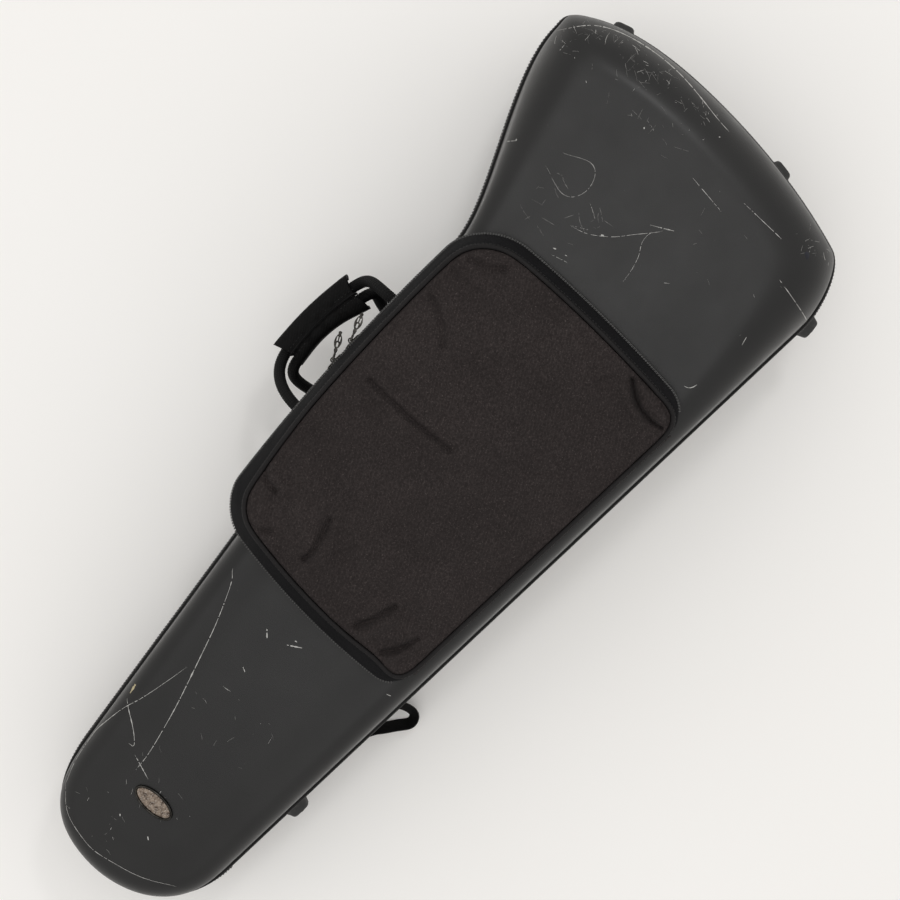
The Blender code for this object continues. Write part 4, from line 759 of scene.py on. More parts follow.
def brick(size, centre=(0, 0, 0), soft=0.0, segments=1):
    shape = bmesh.new()
    bmesh.ops.create_cube(shape, size=1, matrix=Matrix.Translation(centre) @ Matrix.Diagonal((*size, 1)))
    if soft:
        bmesh.ops.bevel(
            shape, geom=shape.edges[:], offset=soft, segments=segments, profile=0.5, affect="EDGES"
        )
    return shape


STITCHES = {
    # its size outward, down and along the seam, and how far its edges are rounded
    "rim": (0.0004, 0.0005, 0.0022, 0.00015),
    "pocket": (0.0005, 0.0005, 0.0024, 0.00018),
    "grip": (0.0004, 0.0005, 0.0016, 0.00014),
    "strap": (0.0006, 0.0006, 0.0026, 0.0002),
    "hold strap": (0.0006, 0.0005, 0.0024, 0.0002),
}


def add_stitches(name, path, kind, body, pitch, place, start=0.0, closed=False, uneven=(0, 0, 0)):
    *size, soft = STITCHES[kind]
    shape = brick(size, soft=soft)
    return add_row(name, path, shape, "stitches", body, pitch, start, place, closed, uneven)


def selvedged(half, low, top):
    """The section of a woven strip between two heights, its corners taken off."""
    return [
        (-half, low + 0.0003), (0.0004 - half, low), (half - 0.0004, low), (half, low + 0.0003),
        (half, top - 0.0003), (half - 0.0004, top), (0.0004 - half, top), (-half, top - 0.0003),
    ]


def add_cad_finish(name, finish):
    """Gives a solid that stays as it is its finish."""
    mesh = frame["nodes"][name].data
    mesh.materials.clear()
    mesh.materials.append(FINISHES[finish][0])


# The rim

def heading(x, y, angle, before, after):
    """A knot of the rim's curve: its place, and its handles before and after, at an angle."""
    way = Vector((math.cos(math.radians(angle)), math.sin(math.radians(angle)), 0))
    return Vector((x, y, 0)), way * before, way * after


# the rim's stretches in order, and the number of points on each
RIM_STEPS = (
    ("hinge", 60), ("hinge_corner", 36), ("bell", 30), ("bell", 30), ("shoulder", 36),
    ("flare", 40), ("waist", 20), ("taper", 50), ("heel", 36), ("heel", 36),
)


def rim_outline():
    """The rim counter-clockwise from the narrow end of the hinge side, as stretches by name."""
    taper = math.degrees(math.atan2(TAPER_END[1] - TAPER_START[1], TAPER_END[0] - TAPER_START[0]))
    side = HINGE_BELL_X - HINGE_HEEL_X
    bow = BELL_CORNER[1] - HINGE_CORNER[1]
    corner = HINGE_CORNER[0] - HINGE_BELL_X
    flare = SHOULDER_X - FLARE_FOOT[0]
    foot = FLARE_FOOT[0] - TAPER_END[0]
    heel = TAPER_START[1] - HEEL_TIP_Y
    knots = (
        heading(HINGE_HEEL_X, 0, 0, HINGE_HEEL_X * 0.75, side / 3),
        heading(HINGE_BELL_X, 0, 0, side / 3, corner * 0.38),
        heading(*HINGE_CORNER, 75, corner * 0.27, bow * 0.16),
        heading(CASE_LENGTH, BELL_CROWN_Y, 90, bow * 0.16, bow * 0.18),
        heading(*BELL_CORNER, 121, bow * 0.16, corner * 0.42),
        heading(SHOULDER_X, BELL_WIDTH, 180, corner * 0.14, flare * 0.28),
        heading(*FLARE_FOOT, 180 + 11.6, flare * 0.27, foot * 0.28),
        heading(*TAPER_END, 180 + taper, foot * 0.40, side / 5),
        heading(*TAPER_START, 180 + taper, side / 5, heel * 0.42),
        heading(0, HEEL_TIP_Y, 270, heel * 0.79, heel * 0.42),
        heading(HINGE_HEEL_X, 0, 360, HINGE_HEEL_X * 0.75, side / 3),
    )
    stretches = {}
    for (name, count), start, end in zip(RIM_STEPS, knots, knots[1:]):
        points = interpolate_bezier(start[0], start[0] + start[2], end[0] - end[1], end[0], count + 1)
        stretches.setdefault(name, []).extend(points[:-1])
    return stretches


STRETCHES = rim_outline()
RIM_LINE = [point for stretch in STRETCHES.values() for point in stretch]
ZIP_LINE = RIM_LINE[len(STRETCHES["hinge"]) :] + [RIM_LINE[0]]


def rim_point(stretch, axis, value):
    """Where a named stretch of the rim crosses a place along x (0) or y (1), and its outward way."""
    first = next(i for i, point in enumerate(RIM_LINE) if point is STRETCHES[stretch][0])
    for i in range(first, first + len(STRETCHES[stretch])):
        start, end = RIM_LINE[i], RIM_LINE[(i + 1) % len(RIM_LINE)]
        share = (value - start[axis]) / (end[axis] - start[axis]) if end[axis] != start[axis] else -1
        if -0.0001 <= share <= 1.0001:
            return start.lerp(end, share), (end - start).cross(UPWARD).normalized()
    raise ValueError(stretch)


def inward(i):
    """The way from a point of the rim towards the shell's middle, per unit of wall distance."""
    low, high = Vector((*SPINE_HEEL, 0)), Vector((*SPINE_BELL, 0))
    line = high - low
    share = min(max((RIM_LINE[i] - low).dot(line) / line.length_squared, 0), 1)
    way = (low + line * share - RIM_LINE[i]).normalized()
    ahead, behind = RIM_LINE[(i + 1) % len(RIM_LINE)], RIM_LINE[i - 1]
    normal = (ahead - behind).cross(Vector((0, 0, -1))).normalized()
    return way / max(way.dot(normal), 0.5), low + line * share


INWARD = [inward(i) for i in range(len(RIM_LINE))]

SHELL_LIP = 0.0006
WALL_RINGS = 3
FACE_SHARE = 0.94
RING_ROUNDS = 420
EVENED_X = (0.62, 0.80)


def depth_at(x, depths):
    return depths[0] + (depths[1] - depths[0]) * x / CASE_LENGTH


def edge_radius(x):
    swell = smoothstep(x, EDGE_SWELL_X, EDGE_SWELL_X + EDGE_SWELL_LENGTH)
    return EDGE_RADIUS_SIDE + (EDGE_RADIUS_BELL - EDGE_RADIUS_SIDE) * swell


def shell_rings(depths, sign, skin, crown, arc_steps, face_steps):
    """Rings from the rim up the wall, over the rounded edge and in over the face."""
    lip = 0.0 if skin else SHELL_LIP
    starts = [(FIT_GAP, lip)]
    if lip:
        starts.append((FIT_GAP + lip, 0.0))
    rings = []
    for height, back in starts:
        ring = []
        for point, (way, _) in zip(RIM_LINE, INWARD):
            spot = point + way * (skin + back + height * math.tan(DRAFT))
            ring.append(Vector((spot.x, spot.y, sign * height)))
        rings.append(ring)
    for step in range(-WALL_RINGS, arc_steps + 1):
        angle = max(math.pi / 2 * step / arc_steps, 0)
        rest = min(step / (WALL_RINGS + 1), 0)
        ring = []
        for point, (way, _) in zip(RIM_LINE, INWARD):
            radius = edge_radius(point.x)
            wall = depth_at(point.x, depths) - radius
            turned = point + way * (
                wall * math.tan(DRAFT) + radius - (radius - skin) * math.cos(angle)
            )
            height = depth_at(turned.x, depths) - radius + (radius - skin) * math.sin(angle)
            foot = point + way * (skin + FIT_GAP * math.tan(DRAFT))
            spot = turned.lerp(foot, -rest)
            rise = height + rest * (height - FIT_GAP)
            ring.append(Vector((spot.x, spot.y, sign * rise)))
        rings.append(evened(ring, max(step, 0) / arc_steps))
    edge = rings[-1]
    for step in range(1, face_steps + 1):
        share = FACE_SHARE * step / face_steps
        ring = []
        for point, (_, middle) in zip(edge, INWARD):
            spot = point.lerp(Vector((middle.x, middle.y, point.z)), share)
            rise = crown * smoothstep(share, 0, CROWN_SHARE)
            ring.append(Vector((spot.x, spot.y, sign * (depth_at(spot.x, depths) - skin + rise))))
        rings.append(evened(ring, 1.0))
    return rings


def evened(ring, strength):
    """Takes the creases out of a ring where the corners of the bell end crowd its points."""
    spots = np.array([tuple(p) for p in ring])
    weights = 0.5 * np.array([[smoothstep(p.x, *EVENED_X)] for p in ring])
    for _ in range(int(RING_ROUNDS * strength)):
        middles = (np.roll(spots, 1, axis=0) + np.roll(spots, -1, axis=0)) / 2
        spots += (middles - spots) * weights
    return [Vector(spot) for spot in spots.tolist()]


def half_shell(depths, sign, crown):
    outer = shell_rings(depths, sign, 0.0, crown, 14, 10)
    inner = shell_rings(depths, sign, WALL, crown, 8, 5)
    shape = loft(outer[::-1] + inner)
    bmesh.ops.triangulate(shape, faces=[face for face in shape.faces if len(face.verts) > 4])
    return shape


def build_shells():
    shell = half_shell(FRONT_DEPTHS, 1, FRONT_CROWN)
    add_piece("lid_shell_smooth", shell, "shell", "lid", RIM, ["front_shell"], angle=50)
    shell = half_shell(BACK_DEPTHS, -1, 0)
    add_piece("back_shell_smooth", shell, "shell", "back_half", RIM, ["back_shell"], angle=50)


# Trim, tapes and teeth round the rim

LEAN = math.tan(DRAFT)
CORD_LOW = 0.0024
CORD_TOP = 0.0031
HINGE_STRIP_INSET = 0.0006
STITCH_DROP = 0.0012
TOOTH_PITCH = 0.0034
TOOTH_SIZE = (0.0026, 0.0046, 0.0013)
TOOTH_MIDDLE = 0.0020
TOOTH_DROP = 0.0010


def leaned(points, sign):
    """A section of (out, up) that leans in with the wall; a sign of -1 turns it over."""
    return [(a - b * LEAN, sign * b) for a, b in points]


def trim_section():
    """A rolled binding: flat against the wall, round outside, with a sewn lip towards the rim."""
    low = TAPE_HEIGHT + FIT_GAP
    high = low + TRIM_HEIGHT
    middle = (low + high) / 2
    points = [(FIT_GAP, low), (FIT_GAP + TRIM_REACH * 0.45, low)]
    for step in range(9):
        angle = math.radians(-78 + 156 * step / 8)
        reach = FIT_GAP + TRIM_REACH * (0.45 + 0.55 * math.cos(angle))
        points.append((reach, middle + TRIM_HEIGHT / 2 * 0.96 * math.sin(angle)))
    return points + [(FIT_GAP, high)]


def tape_section(reach):
    """A flat tape along the wall, a thin cord sewn in along its rim edge."""
    points = [(FIT_GAP, FIT_GAP * 2), (FIT_GAP + reach * 1.25, FIT_GAP * 2)]
    points += [(FIT_GAP + reach * 1.25, CORD_LOW), (FIT_GAP + reach, CORD_TOP)]
    for step in range(1, 4):
        points.append((FIT_GAP + reach, CORD_TOP + (TAPE_HEIGHT - CORD_TOP) * step / 3))
    return points + [(FIT_GAP, TAPE_HEIGHT)]


def main_tooth(sign):
    """One moulded tooth: x out of the wall, y down, z along the zip, its head past the seam."""
    shape = brick(TOOTH_SIZE, (TOOTH_MIDDLE, -sign * TOOTH_DROP, 0), 0.00028)
    for vertex in shape.verts:
        beyond = sign * vertex.co.y > 0
        if beyond:
            vertex.co.z *= 1.12
            vertex.co.x = TOOTH_MIDDLE + (vertex.co.x - TOOTH_MIDDLE) * 0.86
    return shape


def build_rim():
    between = [point.x for point in RIM_LINE[: len(STRETCHES["hinge"]) + 1][2:-2:3]]
    places = (HINGE_HEEL_X + HINGE_STRIP_INSET, *between, HINGE_BELL_X - HINGE_STRIP_INSET)
    hinge = [Vector((x, 0, 0)) for x in places]
    ends = even(ZIP_LINE, TOOTH_PITCH / 2)
    for half, body, sign in (("front", "lid", 1), ("back", "back_half", -1)):
        trim = sweep(RIM_LINE, leaned(trim_section(), sign), closed=True)
        add_piece(f"{half}_binding", trim, "trim", body, RIM, [f"{half}_edge_trim"])
        tape = sweep(ZIP_LINE, leaned(tape_section(TAPE_THICKNESS), sign))
        add_piece(f"{half}_zip_tape", tape, "tape", body, RIM, [f"{half}_zip_chain"])
        strip = sweep(hinge, leaned(tape_section(HINGE_THICKNESS * 0.8), sign))
        add_piece(f"{half}_hinge_strip", strip, "webbing", body, RIM, [f"hinge_tape_{half}"])
        start = TOOTH_PITCH * (0.5 if sign > 0 else 1.0)
        add_row(f"{half}_zip_teeth", ends, main_tooth(sign), "teeth", body, TOOTH_PITCH, start, RIM)
        low = TAPE_HEIGHT - STITCH_DROP
        row = sweep_points(RIM_LINE, FIT_GAP * 1.6 + TAPE_THICKNESS - low * LEAN, sign * low)
        add_stitches(f"{half}_rim_stitches", row, "rim", body, 0.0034, RIM, closed=True)


def sweep_points(line, out, rise):
    """A closed line moved outwards and up by the same amounts all round."""
    moved = []
    for i, point in enumerate(line):
        way = line[(i + 1) % len(line)] - line[i - 1]
        side = way.normalized().cross(UPWARD)
        moved.append(point + side * out + Vector((0, 0, rise)))
    return moved


# The pocket on the lid

BASE_TOP = FIT_GAP + POCKET_BASE
CHAIN_LOW = BASE_TOP + FIT_GAP
CHAIN_MIDDLE = CHAIN_LOW + POCKET_CHAIN
FLAP_LOW = CHAIN_MIDDLE + FIT_GAP * 2
GUSSET_LOW = FLAP_LOW + POCKET_CHAIN + FIT_GAP
GUSSET_TOP = FIT_GAP + POCKET_DEPTH
PIPING_RISE = FIT_GAP + POCKET_PIPING
PANEL_INSET = POCKET_PIPING * 1.6 + FIT_GAP * 2
POCKET_RING = 460
PANEL_RING = 300
GUSSET_LIP = 0.00045
EASED_POINTS = 80
POCKET_TOOTH_PITCH = 0.0026
POCKET_TOOTH_SIZE = (0.0022, 0.0034, 0.0013)
POCKET_TOOTH_OUT = 0.0003
POCKET_TOOTH_DROP = 0.0012
ZIP_LIP = 0.0012
FOLD_SINK = 0.0026
FOLD_SINK_REACH = 0.030
GUSSET_SINK = 0.0028
GUSSET_SINK_REACH = 0.012
CORD_INSET = 0.0002
LEAN_XS = (0.345, 0.500)
LEAN_YS = (POCKET_HINGE_Y - 0.001, POCKET_HINGE_Y + 0.028)


def pocket_side(x):
    """How far out the pocket's handle side lies at x, and its slope there: a shallow bow."""
    share = (x - POCKET_HEEL_X) / POCKET_LENGTH
    widening = POCKET_WIDTHS[1] - POCKET_WIDTHS[0]
    bow = POCKET_SIDE_BOW * (1 - (2 * share - 1) ** 2)
    slope = (widening + POCKET_SIDE_BOW * 4 * (1 - 2 * share)) / POCKET_LENGTH
    return POCKET_HINGE_Y + POCKET_WIDTHS[0] + widening * share + bow, slope


def pocket_place(x, y):
    """Moves a place of the plain rectangle to the real outline: bowed ends, a slanted bell end."""
    along = (x - POCKET_HEEL_X) / POCKET_LENGTH
    across = (y - POCKET_HINGE_Y) / POCKET_WIDTHS[0]
    arch = 1 - (2 * across - 1) ** 2
    heel = -POCKET_HEEL_BOW * arch
    bell = POCKET_BELL_BOW * arch - POCKET_BELL_SLANT * across
    moved = x + heel + (bell - heel) * along
    return moved, POCKET_HINGE_Y + (pocket_side(moved)[0] - POCKET_HINGE_Y) * across


def pocket_outline(inset=0.0, steps=16):
    """The pocket's edge, from the hinge side of the bell end round to where it started."""
    low_x, high_x = POCKET_HEEL_X + inset, POCKET_HEEL_X + POCKET_LENGTH - inset
    low_y, high_y = POCKET_HINGE_Y + inset, POCKET_HINGE_Y + POCKET_WIDTHS[0] - inset
    arcs = []
    for i, (x, y) in enumerate(((high_x, low_y), (high_x, high_y), (low_x, high_y), (low_x, low_y))):
        radius = POCKET_CORNERS[i] - inset
        middle_x = x - math.copysign(radius, x - (low_x + high_x) / 2)
        middle_y = y - math.copysign(radius, y - (low_y + high_y) / 2)
        turns = [math.radians(90 * (i - 1 + step / steps)) for step in range(steps + 1)]
        arcs.append([(middle_x + radius * math.cos(t), middle_y + radius * math.sin(t)) for t in turns])
    points = []
    for i, arc in enumerate(arcs):
        points += arc
        (ax, ay), (bx, by) = arc[-1], arcs[(i + 1) % 4][0]
        points += [(ax + (bx - ax) * k / 16, ay + (by - ay) * k / 16) for k in range(1, 16)]
    return [pocket_place(x, y) for x, y in points]


def pocket_ring(inset, count=POCKET_RING):
    """The same edge with a fixed number of evenly spread points, so that rings can be joined."""
    line = [Vector((x, y, 0)) for x, y in pocket_outline(inset)]
    total = sum((a - b).length for a, b in zip(line, line[1:] + line[:1]))
    ring = even(line, total / count, closed=True)
    return ring[:count]


def pocket_stand(y):
    """How much of its full height the front has at y: little along the fold."""
    share = min(max((y - POCKET_HINGE_Y) / POCKET_WEDGE_REACH, 0.0), 1.0)
    return POCKET_FOLD_SHARE + (1 - POCKET_FOLD_SHARE) * share * share * (3 - 2 * share)


def sinking(y, amount, reach):
    """How far cloth sinks at y: by the whole amount at the fold, by nothing past its reach."""
    return amount * (1 - smoothstep(y, POCKET_HINGE_Y, POCKET_HINGE_Y + reach))


def front_height(y):
    """Where the side cloth ends and the cord begins: it sinks to a low edge along the fold."""
    stand = GUSSET_LOW + (GUSSET_TOP - GUSSET_LOW) * pocket_stand(y)
    return stand - sinking(y, FOLD_SINK, FOLD_SINK_REACH)


def front_lean(place):
    """How far in from the zip the cord lies: most at the narrow end, none along the fold."""
    heel, bell = POCKET_LEANS
    lean = heel + (bell - heel) * smoothstep(place.x, *LEAN_XS)
    return CORD_INSET + lean * smoothstep(place.y, *LEAN_YS)


def pocket_edge(count=POCKET_RING):
    """Even places round the pocket's edge, each with its way outward."""
    ring = pocket_ring(0.0, count)
    places = []
    for i, point in enumerate(ring):
        way = ring[(i + 1) % count] - ring[i - 1]
        places.append((point, Vector((way.y, -way.x, 0)).normalized()))
    return places


def front_line(inset, rise, count=POCKET_RING):
    """A line along the top of the side cloth, further in and higher by the given amounts.

    Its corners are eased by as much however many points it has.
    """
    line = [p - out * (front_lean(p) + inset) for p, out in pocket_edge(count)]
    for _ in range(round((count / EASED_POINTS) ** 2)):
        line = [p.lerp((line[i - 1] + line[(i + 1) % count]) / 2, 0.5) for i, p in enumerate(line)]
    return [p + Vector((0, 0, front_height(p.y) + rise)) for p in line]


def pocket_zip_line():
    ahead = [p for p in pocket_outline() if p[1] > POCKET_HINGE_Y + POCKET_CORNERS[3] * 0.35]
    return [Vector((x, y, 0)) for x, y in ahead]


def gusset_rings():
    """The band between the zip and the cord: it lies almost flat and sags a little."""
    places = pocket_edge()
    tops = front_line(0, 0)
    rings = []
    steps = 12
    for step in range(steps + 1):
        share = step / steps
        away = math.sin(math.pi * share)
        ring = []
        for (point, outward), top in zip(places, tops):
            slow = noise.noise(Vector((point.x * 30, point.y * 30, share * 1.5)))
            tucks = noise.noise(Vector((point.x * 150, point.y * 150, 4.0)))
            out = (0.0010 + 0.0008 * slow + 0.0003 * tucks) * away
            foot = GUSSET_LOW - sinking(point.y, GUSSET_SINK, GUSSET_SINK_REACH)
            rise = foot + (front_height(point.y) - foot) * share
            spot = (point - outward * GUSSET_LIP).lerp(top.xy.to_3d(), share)
            ring.append(spot + outward * out + Vector((0, 0, rise)))
        rings.append(ring)
    inner = []
    for k in (steps, steps // 2, 0):
        inner.append([p - out * POCKET_CLOTH for p, (_, out) in zip(rings[k], places)])
    return rings + inner


def build_pocket_base():
    ring = pocket_ring(FIT_GAP, 240)
    shape = slab([(p.x, p.y) for p in ring], FIT_GAP, BASE_TOP, 0.0007)
    add_piece("pocket_back_cloth", shape, "cloth", "lid", FACE, ["pocket_base"])
    start = POCKET_HEEL_X + POCKET_CORNERS[3]
    end = POCKET_HEEL_X + POCKET_LENGTH - POCKET_CORNERS[0]
    y = POCKET_HINGE_Y - FIT_GAP
    line = even([(start, y, 0), (end, y, 0)], 0.004)
    half = POCKET_CLOTH / 2
    section = [(0, FIT_GAP), (POCKET_CLOTH, FIT_GAP)]
    section += [(POCKET_CLOTH, CHAIN_MIDDLE - half), (half, CHAIN_MIDDLE), (0, CHAIN_MIDDLE - half)]
    add_piece("pocket_hinge_cloth", sweep(line, section), "cloth", "lid", FACE, ["pocket_hinge_strip"])


def build_pocket_zip():
    line = even(pocket_zip_line(), 0.002)
    for half, body, low, sign in (("lower", "lid", CHAIN_LOW, -1), ("upper", "pocket_flap", FLAP_LOW, 1)):
        bead = POCKET_CHAIN_WIDTH * 0.45
        seam_low = low + (ZIP_LIP if sign > 0 else 0)
        seam_high = low + POCKET_CHAIN - (ZIP_LIP if sign < 0 else 0)
        section = [(-0.0006, seam_low), (-0.0003, (seam_low + seam_high) / 2), (-0.0006, seam_high)]
        section += [(-bead, low + POCKET_CHAIN), (-POCKET_CHAIN_WIDTH, low + POCKET_CHAIN)]
        section += [(-POCKET_CHAIN_WIDTH, low), (-bead, low)]
        add_piece(
            f"pocket_zip_tape_{half}", sweep(line, section), "tape", body, FACE, [f"pocket_zip_{half}"]
        )
        middle = CHAIN_MIDDLE + FIT_GAP
        spot = (POCKET_TOOTH_OUT, -sign * POCKET_TOOTH_DROP, 0)
        tooth = brick(POCKET_TOOTH_SIZE, spot, 0.0003)
        row = [p + Vector((0, 0, middle)) for p in line]
        start = POCKET_TOOTH_PITCH * (0.5 if sign > 0 else 1.0)
        add_row(
            f"pocket_zip_teeth_{half}", row, tooth, "teeth", body, POCKET_TOOTH_PITCH, start, FACE
        )


def crease(point, line, width):
    """How near a place lies to a crease, from 1 on it to 0."""
    best = 1e9
    px, py = point
    for (ax, ay), (bx, by) in zip(line, line[1:]):
        dx, dy = bx - ax, by - ay
        share = min(max(((px - ax) * dx + (py - ay) * dy) / (dx * dx + dy * dy), 0), 1)
        best = min(best, math.hypot(px - ax - dx * share, py - ay - dy * share))
    return math.exp(-((best / width) ** 2))


PANEL_CREASES = (
    # a line across the cloth, its width and how far it stands up or sinks
    (((0.5469, 0.2475), (0.5495, 0.1966), (0.5560, 0.1497)), 0.0026, -0.0026),
    (((0.5420, 0.2475), (0.5445, 0.1966), (0.5500, 0.1497)), 0.0070, 0.0020),
    (((0.5680, 0.2475), (0.5760, 0.2150), (0.5790, 0.1850)), 0.0080, 0.0016),
    (((0.3850, 0.1700), (0.3990, 0.1690), (0.4280, 0.1800)), 0.0030, -0.0030),
    (((0.3820, 0.1620), (0.3980, 0.1590), (0.4150, 0.1600)), 0.0060, 0.0024),
    (((0.3760, 0.0905), (0.3890, 0.0850), (0.4150, 0.0790)), 0.0028, -0.0030),
    (((0.3760, 0.0820), (0.3920, 0.0760), (0.4090, 0.0700)), 0.0056, 0.0026),
    (((0.3740, 0.0560), (0.3860, 0.0480), (0.4080, 0.0420)), 0.0026, -0.0028),
    (((0.3760, 0.0480), (0.3870, 0.0420), (0.3960, 0.0380)), 0.0040, 0.0022),
    (((0.3700, 0.2280), (0.3720, 0.2200), (0.3790, 0.2110)), 0.0026, -0.0020),
    (((0.4172, 0.2580), (0.4110, 0.2480), (0.4090, 0.2350)), 0.0030, -0.0024),
    (((0.4240, 0.2580), (0.4190, 0.2440), (0.4180, 0.2300)), 0.0055, 0.0020),
    (
        ((0.7216, 0.0816), (0.7128, 0.0690), (0.7080, 0.0567), (0.7072, 0.0440), (0.7100, 0.0300)),
        0.0020, -0.0036,
    ),
    (((0.7230, 0.0720), (0.7170, 0.0560), (0.7165, 0.0400)), 0.0052, 0.0030),
    (((0.7110, 0.0830), (0.7040, 0.0660), (0.7000, 0.0470)), 0.0050, 0.0020),
    (((0.7290, 0.0492), (0.7245, 0.0450)), 0.0014, -0.0018),
    (((0.7270, 0.0400), (0.7225, 0.0370)), 0.0014, -0.0016),
    (((0.7150, 0.0980), (0.7030, 0.1050), (0.6900, 0.1070)), 0.0040, 0.0018),
    (((0.6900, 0.2640), (0.6960, 0.2480), (0.7060, 0.2360)), 0.0034, -0.0022),
    (((0.6720, 0.2660), (0.6700, 0.2520), (0.6760, 0.2380)), 0.0040, -0.0014),
    (((0.6402, 0.2620), (0.6320, 0.2400), (0.6180, 0.2240)), 0.0034, -0.0022),
    (((0.4900, 0.2580), (0.4960, 0.2350), (0.5100, 0.2100)), 0.0080, 0.0014),
    (((0.4300, 0.0420), (0.4360, 0.0600), (0.4480, 0.0830)), 0.0070, 0.0016),
    (((0.5600, 0.0400), (0.5660, 0.0580), (0.5640, 0.0810)), 0.0070, 0.0014),
)
FOLD_LIFT = 1.9
FOLD_NEAR = 0.12
SEWN_EASE = 0.020
SEWN_HOLD = 0.0045
SWELL_LIMITS = (-0.003, 0.0075)
NET_STEP = 0.0040
NET_JITTER = 0.12
SWELL_FRAMES = 25
CLOTH_SETTINGS = {
    "quality": 6,
    "mass": 0.15,
    "tension_stiffness": 40,
    "compression_stiffness": 40,
    "shear_stiffness": 12,
    "bending_stiffness": 0.10,
    "air_damping": 4,
    "vertex_group_mass": "sewn",
    "use_pressure": True,
    "uniform_pressure_force": 1.4,
    "shrink_min": -0.018,
}


def fold_depth(spot):
    """How near a place of the cloth lies to each of its folds."""
    return [crease(spot, line, width) for line, width, _ in PANEL_CREASES]


def panel_mesh():
    """An even net of points inside the cord, its edge points sewn down."""
    edge = [Vector((p.x, p.y)) for p in front_line(PANEL_INSET, 0, PANEL_RING)]
    chance = random.Random(5)
    shift = NET_STEP * NET_JITTER
    inside = []
    row = 0
    y = POCKET_HINGE_Y
    lows = Vector((min(p.x for p in edge), min(p.y for p in edge)))
    highs = Vector((max(p.x for p in edge), max(p.y for p in edge)))
    while y < highs.y:
        x = lows.x + (NET_STEP / 2 if row % 2 else 0)
        while x < highs.x:
            spot = Vector((x + chance.uniform(-1, 1) * shift, y + chance.uniform(-1, 1) * shift))
            near = min((spot - p).length_squared for p in edge)
            if near > (NET_STEP * 0.62) ** 2:
                inside.append(spot)
            x += NET_STEP
        y += NET_STEP * 0.866
        row += 1
    links = [(i, (i + 1) % len(edge)) for i in range(len(edge))]
    points, _, faces, *_ = delaunay_2d_cdt(edge + inside, links, [], 1, 1e-7)
    mesh = bpy.data.meshes.new("pocket panel")
    mesh.from_pydata([(p.x, p.y, 0) for p in points], [], faces)
    sewn = [min((p - q).length_squared for q in edge) < 1e-9 for p in points]
    return mesh, sewn


def swell_panel(mesh, sewn):
    """Lets the sewn cloth swell and buckle: it is cut a little larger than its frame."""
    piece = new_object("pocket panel", mesh)
    held = piece.vertex_groups.new(name="sewn")
    held.add([i for i, kept in enumerate(sewn) if kept], 1.0, "REPLACE")
    for vertex, kept in zip(mesh.vertices, sewn):
        if not kept:
            spot = Vector((vertex.co.x * 30, vertex.co.y * 30, 0.7))
            vertex.co.z += 0.0010 + 0.0008 * noise.noise(spot)
    step = piece.modifiers.new("cloth", "CLOTH")
    for key, value in CLOTH_SETTINGS.items():
        setattr(step.settings, key, value)
    step.settings.effector_weights.gravity = 0
    scene = bpy.context.scene
    for number in range(1, SWELL_FRAMES + 1):
        scene.frame_set(number)
    swollen = settled(piece)
    scene.frame_set(1)
    return swollen


def build_pocket_panel():
    mesh, sewn = panel_mesh()
    mesh = swell_panel(mesh, sewn)
    edge = front_line(PANEL_INSET, PIPING_RISE, PANEL_RING)
    shape = bmesh.new()
    shape.from_mesh(mesh)
    bmesh.ops.recalc_face_normals(shape, faces=shape.faces)
    if sum(face.normal.z for face in shape.faces) < 0:
        bmesh.ops.reverse_faces(shape, faces=shape.faces)
    bmesh.ops.subdivide_edges(shape, edges=shape.edges, cuts=1, use_grid_fill=True, smooth=0.4)
    bmesh.ops.smooth_vert(
        shape, verts=[v for v in shape.verts if not v.is_boundary], factor=0.4,
        use_axis_x=True, use_axis_y=True, use_axis_z=True,
    )
    folded = [
        link for link in shape.edges
        if max(fold_depth((link.verts[0].co.xy + link.verts[1].co.xy) / 2)) > FOLD_NEAR
        and not link.is_boundary
    ]
    bmesh.ops.subdivide_edges(shape, edges=folded, cuts=1, use_grid_fill=True)
    bmesh.ops.triangulate(shape, faces=[face for face in shape.faces if len(face.verts) > 4])
    for vertex in shape.verts:
        spot = vertex.co.xy
        near = min(edge, key=lambda p: (p.xy - spot).length_squared)
        away = (near.xy - spot).length
        ease = smoothstep(away, 0, SEWN_EASE)
        rise = min(max(vertex.co.z, SWELL_LIMITS[0]), SWELL_LIMITS[1])
        held = smoothstep(away, 0, SEWN_HOLD)
        folds = zip(PANEL_CREASES, fold_depth(spot))
        rise += held * sum(lift * FOLD_LIFT * depth for (_, _, lift), depth in folds)
        rise += 0.0007 * ease * noise.noise(Vector((spot.x * 95, spot.y * 70, 3.1)))
        rise += 0.0012 * held * noise.noise(Vector((spot.x * 26 + spot.y * 34, spot.x * 9, 6.2)))
        if away < 1e-5:
            rise = 0
        own = front_height(spot.y) + PIPING_RISE
        vertex.co.z = own + (near.z - front_height(near.y) - PIPING_RISE) * (1 - ease) + rise
    bmesh.ops.solidify(shape, geom=shape.faces[:], thickness=POCKET_CLOTH / 2)
    panel = add_piece("pocket_front_cloth", shape, "cloth", "pocket_flap", FACE, ["pocket_panel"], 60)


def build_pocket():
    build_pocket_base()
    build_pocket_zip()
    gusset = loft(gusset_rings(), round_again=True)
    add_piece("pocket_side_cloth", gusset, "side cloth", "pocket_flap", FACE, ["pocket_gusset"], 60)
    cord = front_line(POCKET_PIPING * 0.6, PIPING_RISE)
    cord = [p + Vector((0, 0, 0.0003 * noise.noise(p * 60))) for p in cord]
    piping = sweep(cord, circle(POCKET_PIPING, 14), closed=True)
    add_piece("pocket_corded_edge", piping, "piping", "pocket_flap", FACE, ["pocket_piping"])
    ring = front_line(-0.0014, 0.0001)
    add_stitches(
        "pocket_edge_stitches", ring, "pocket", "pocket_flap", 0.0036, FACE, closed=True,
        uneven=(0.03, 0.05, 0.06),
    )
    build_pocket_panel()


# The handle

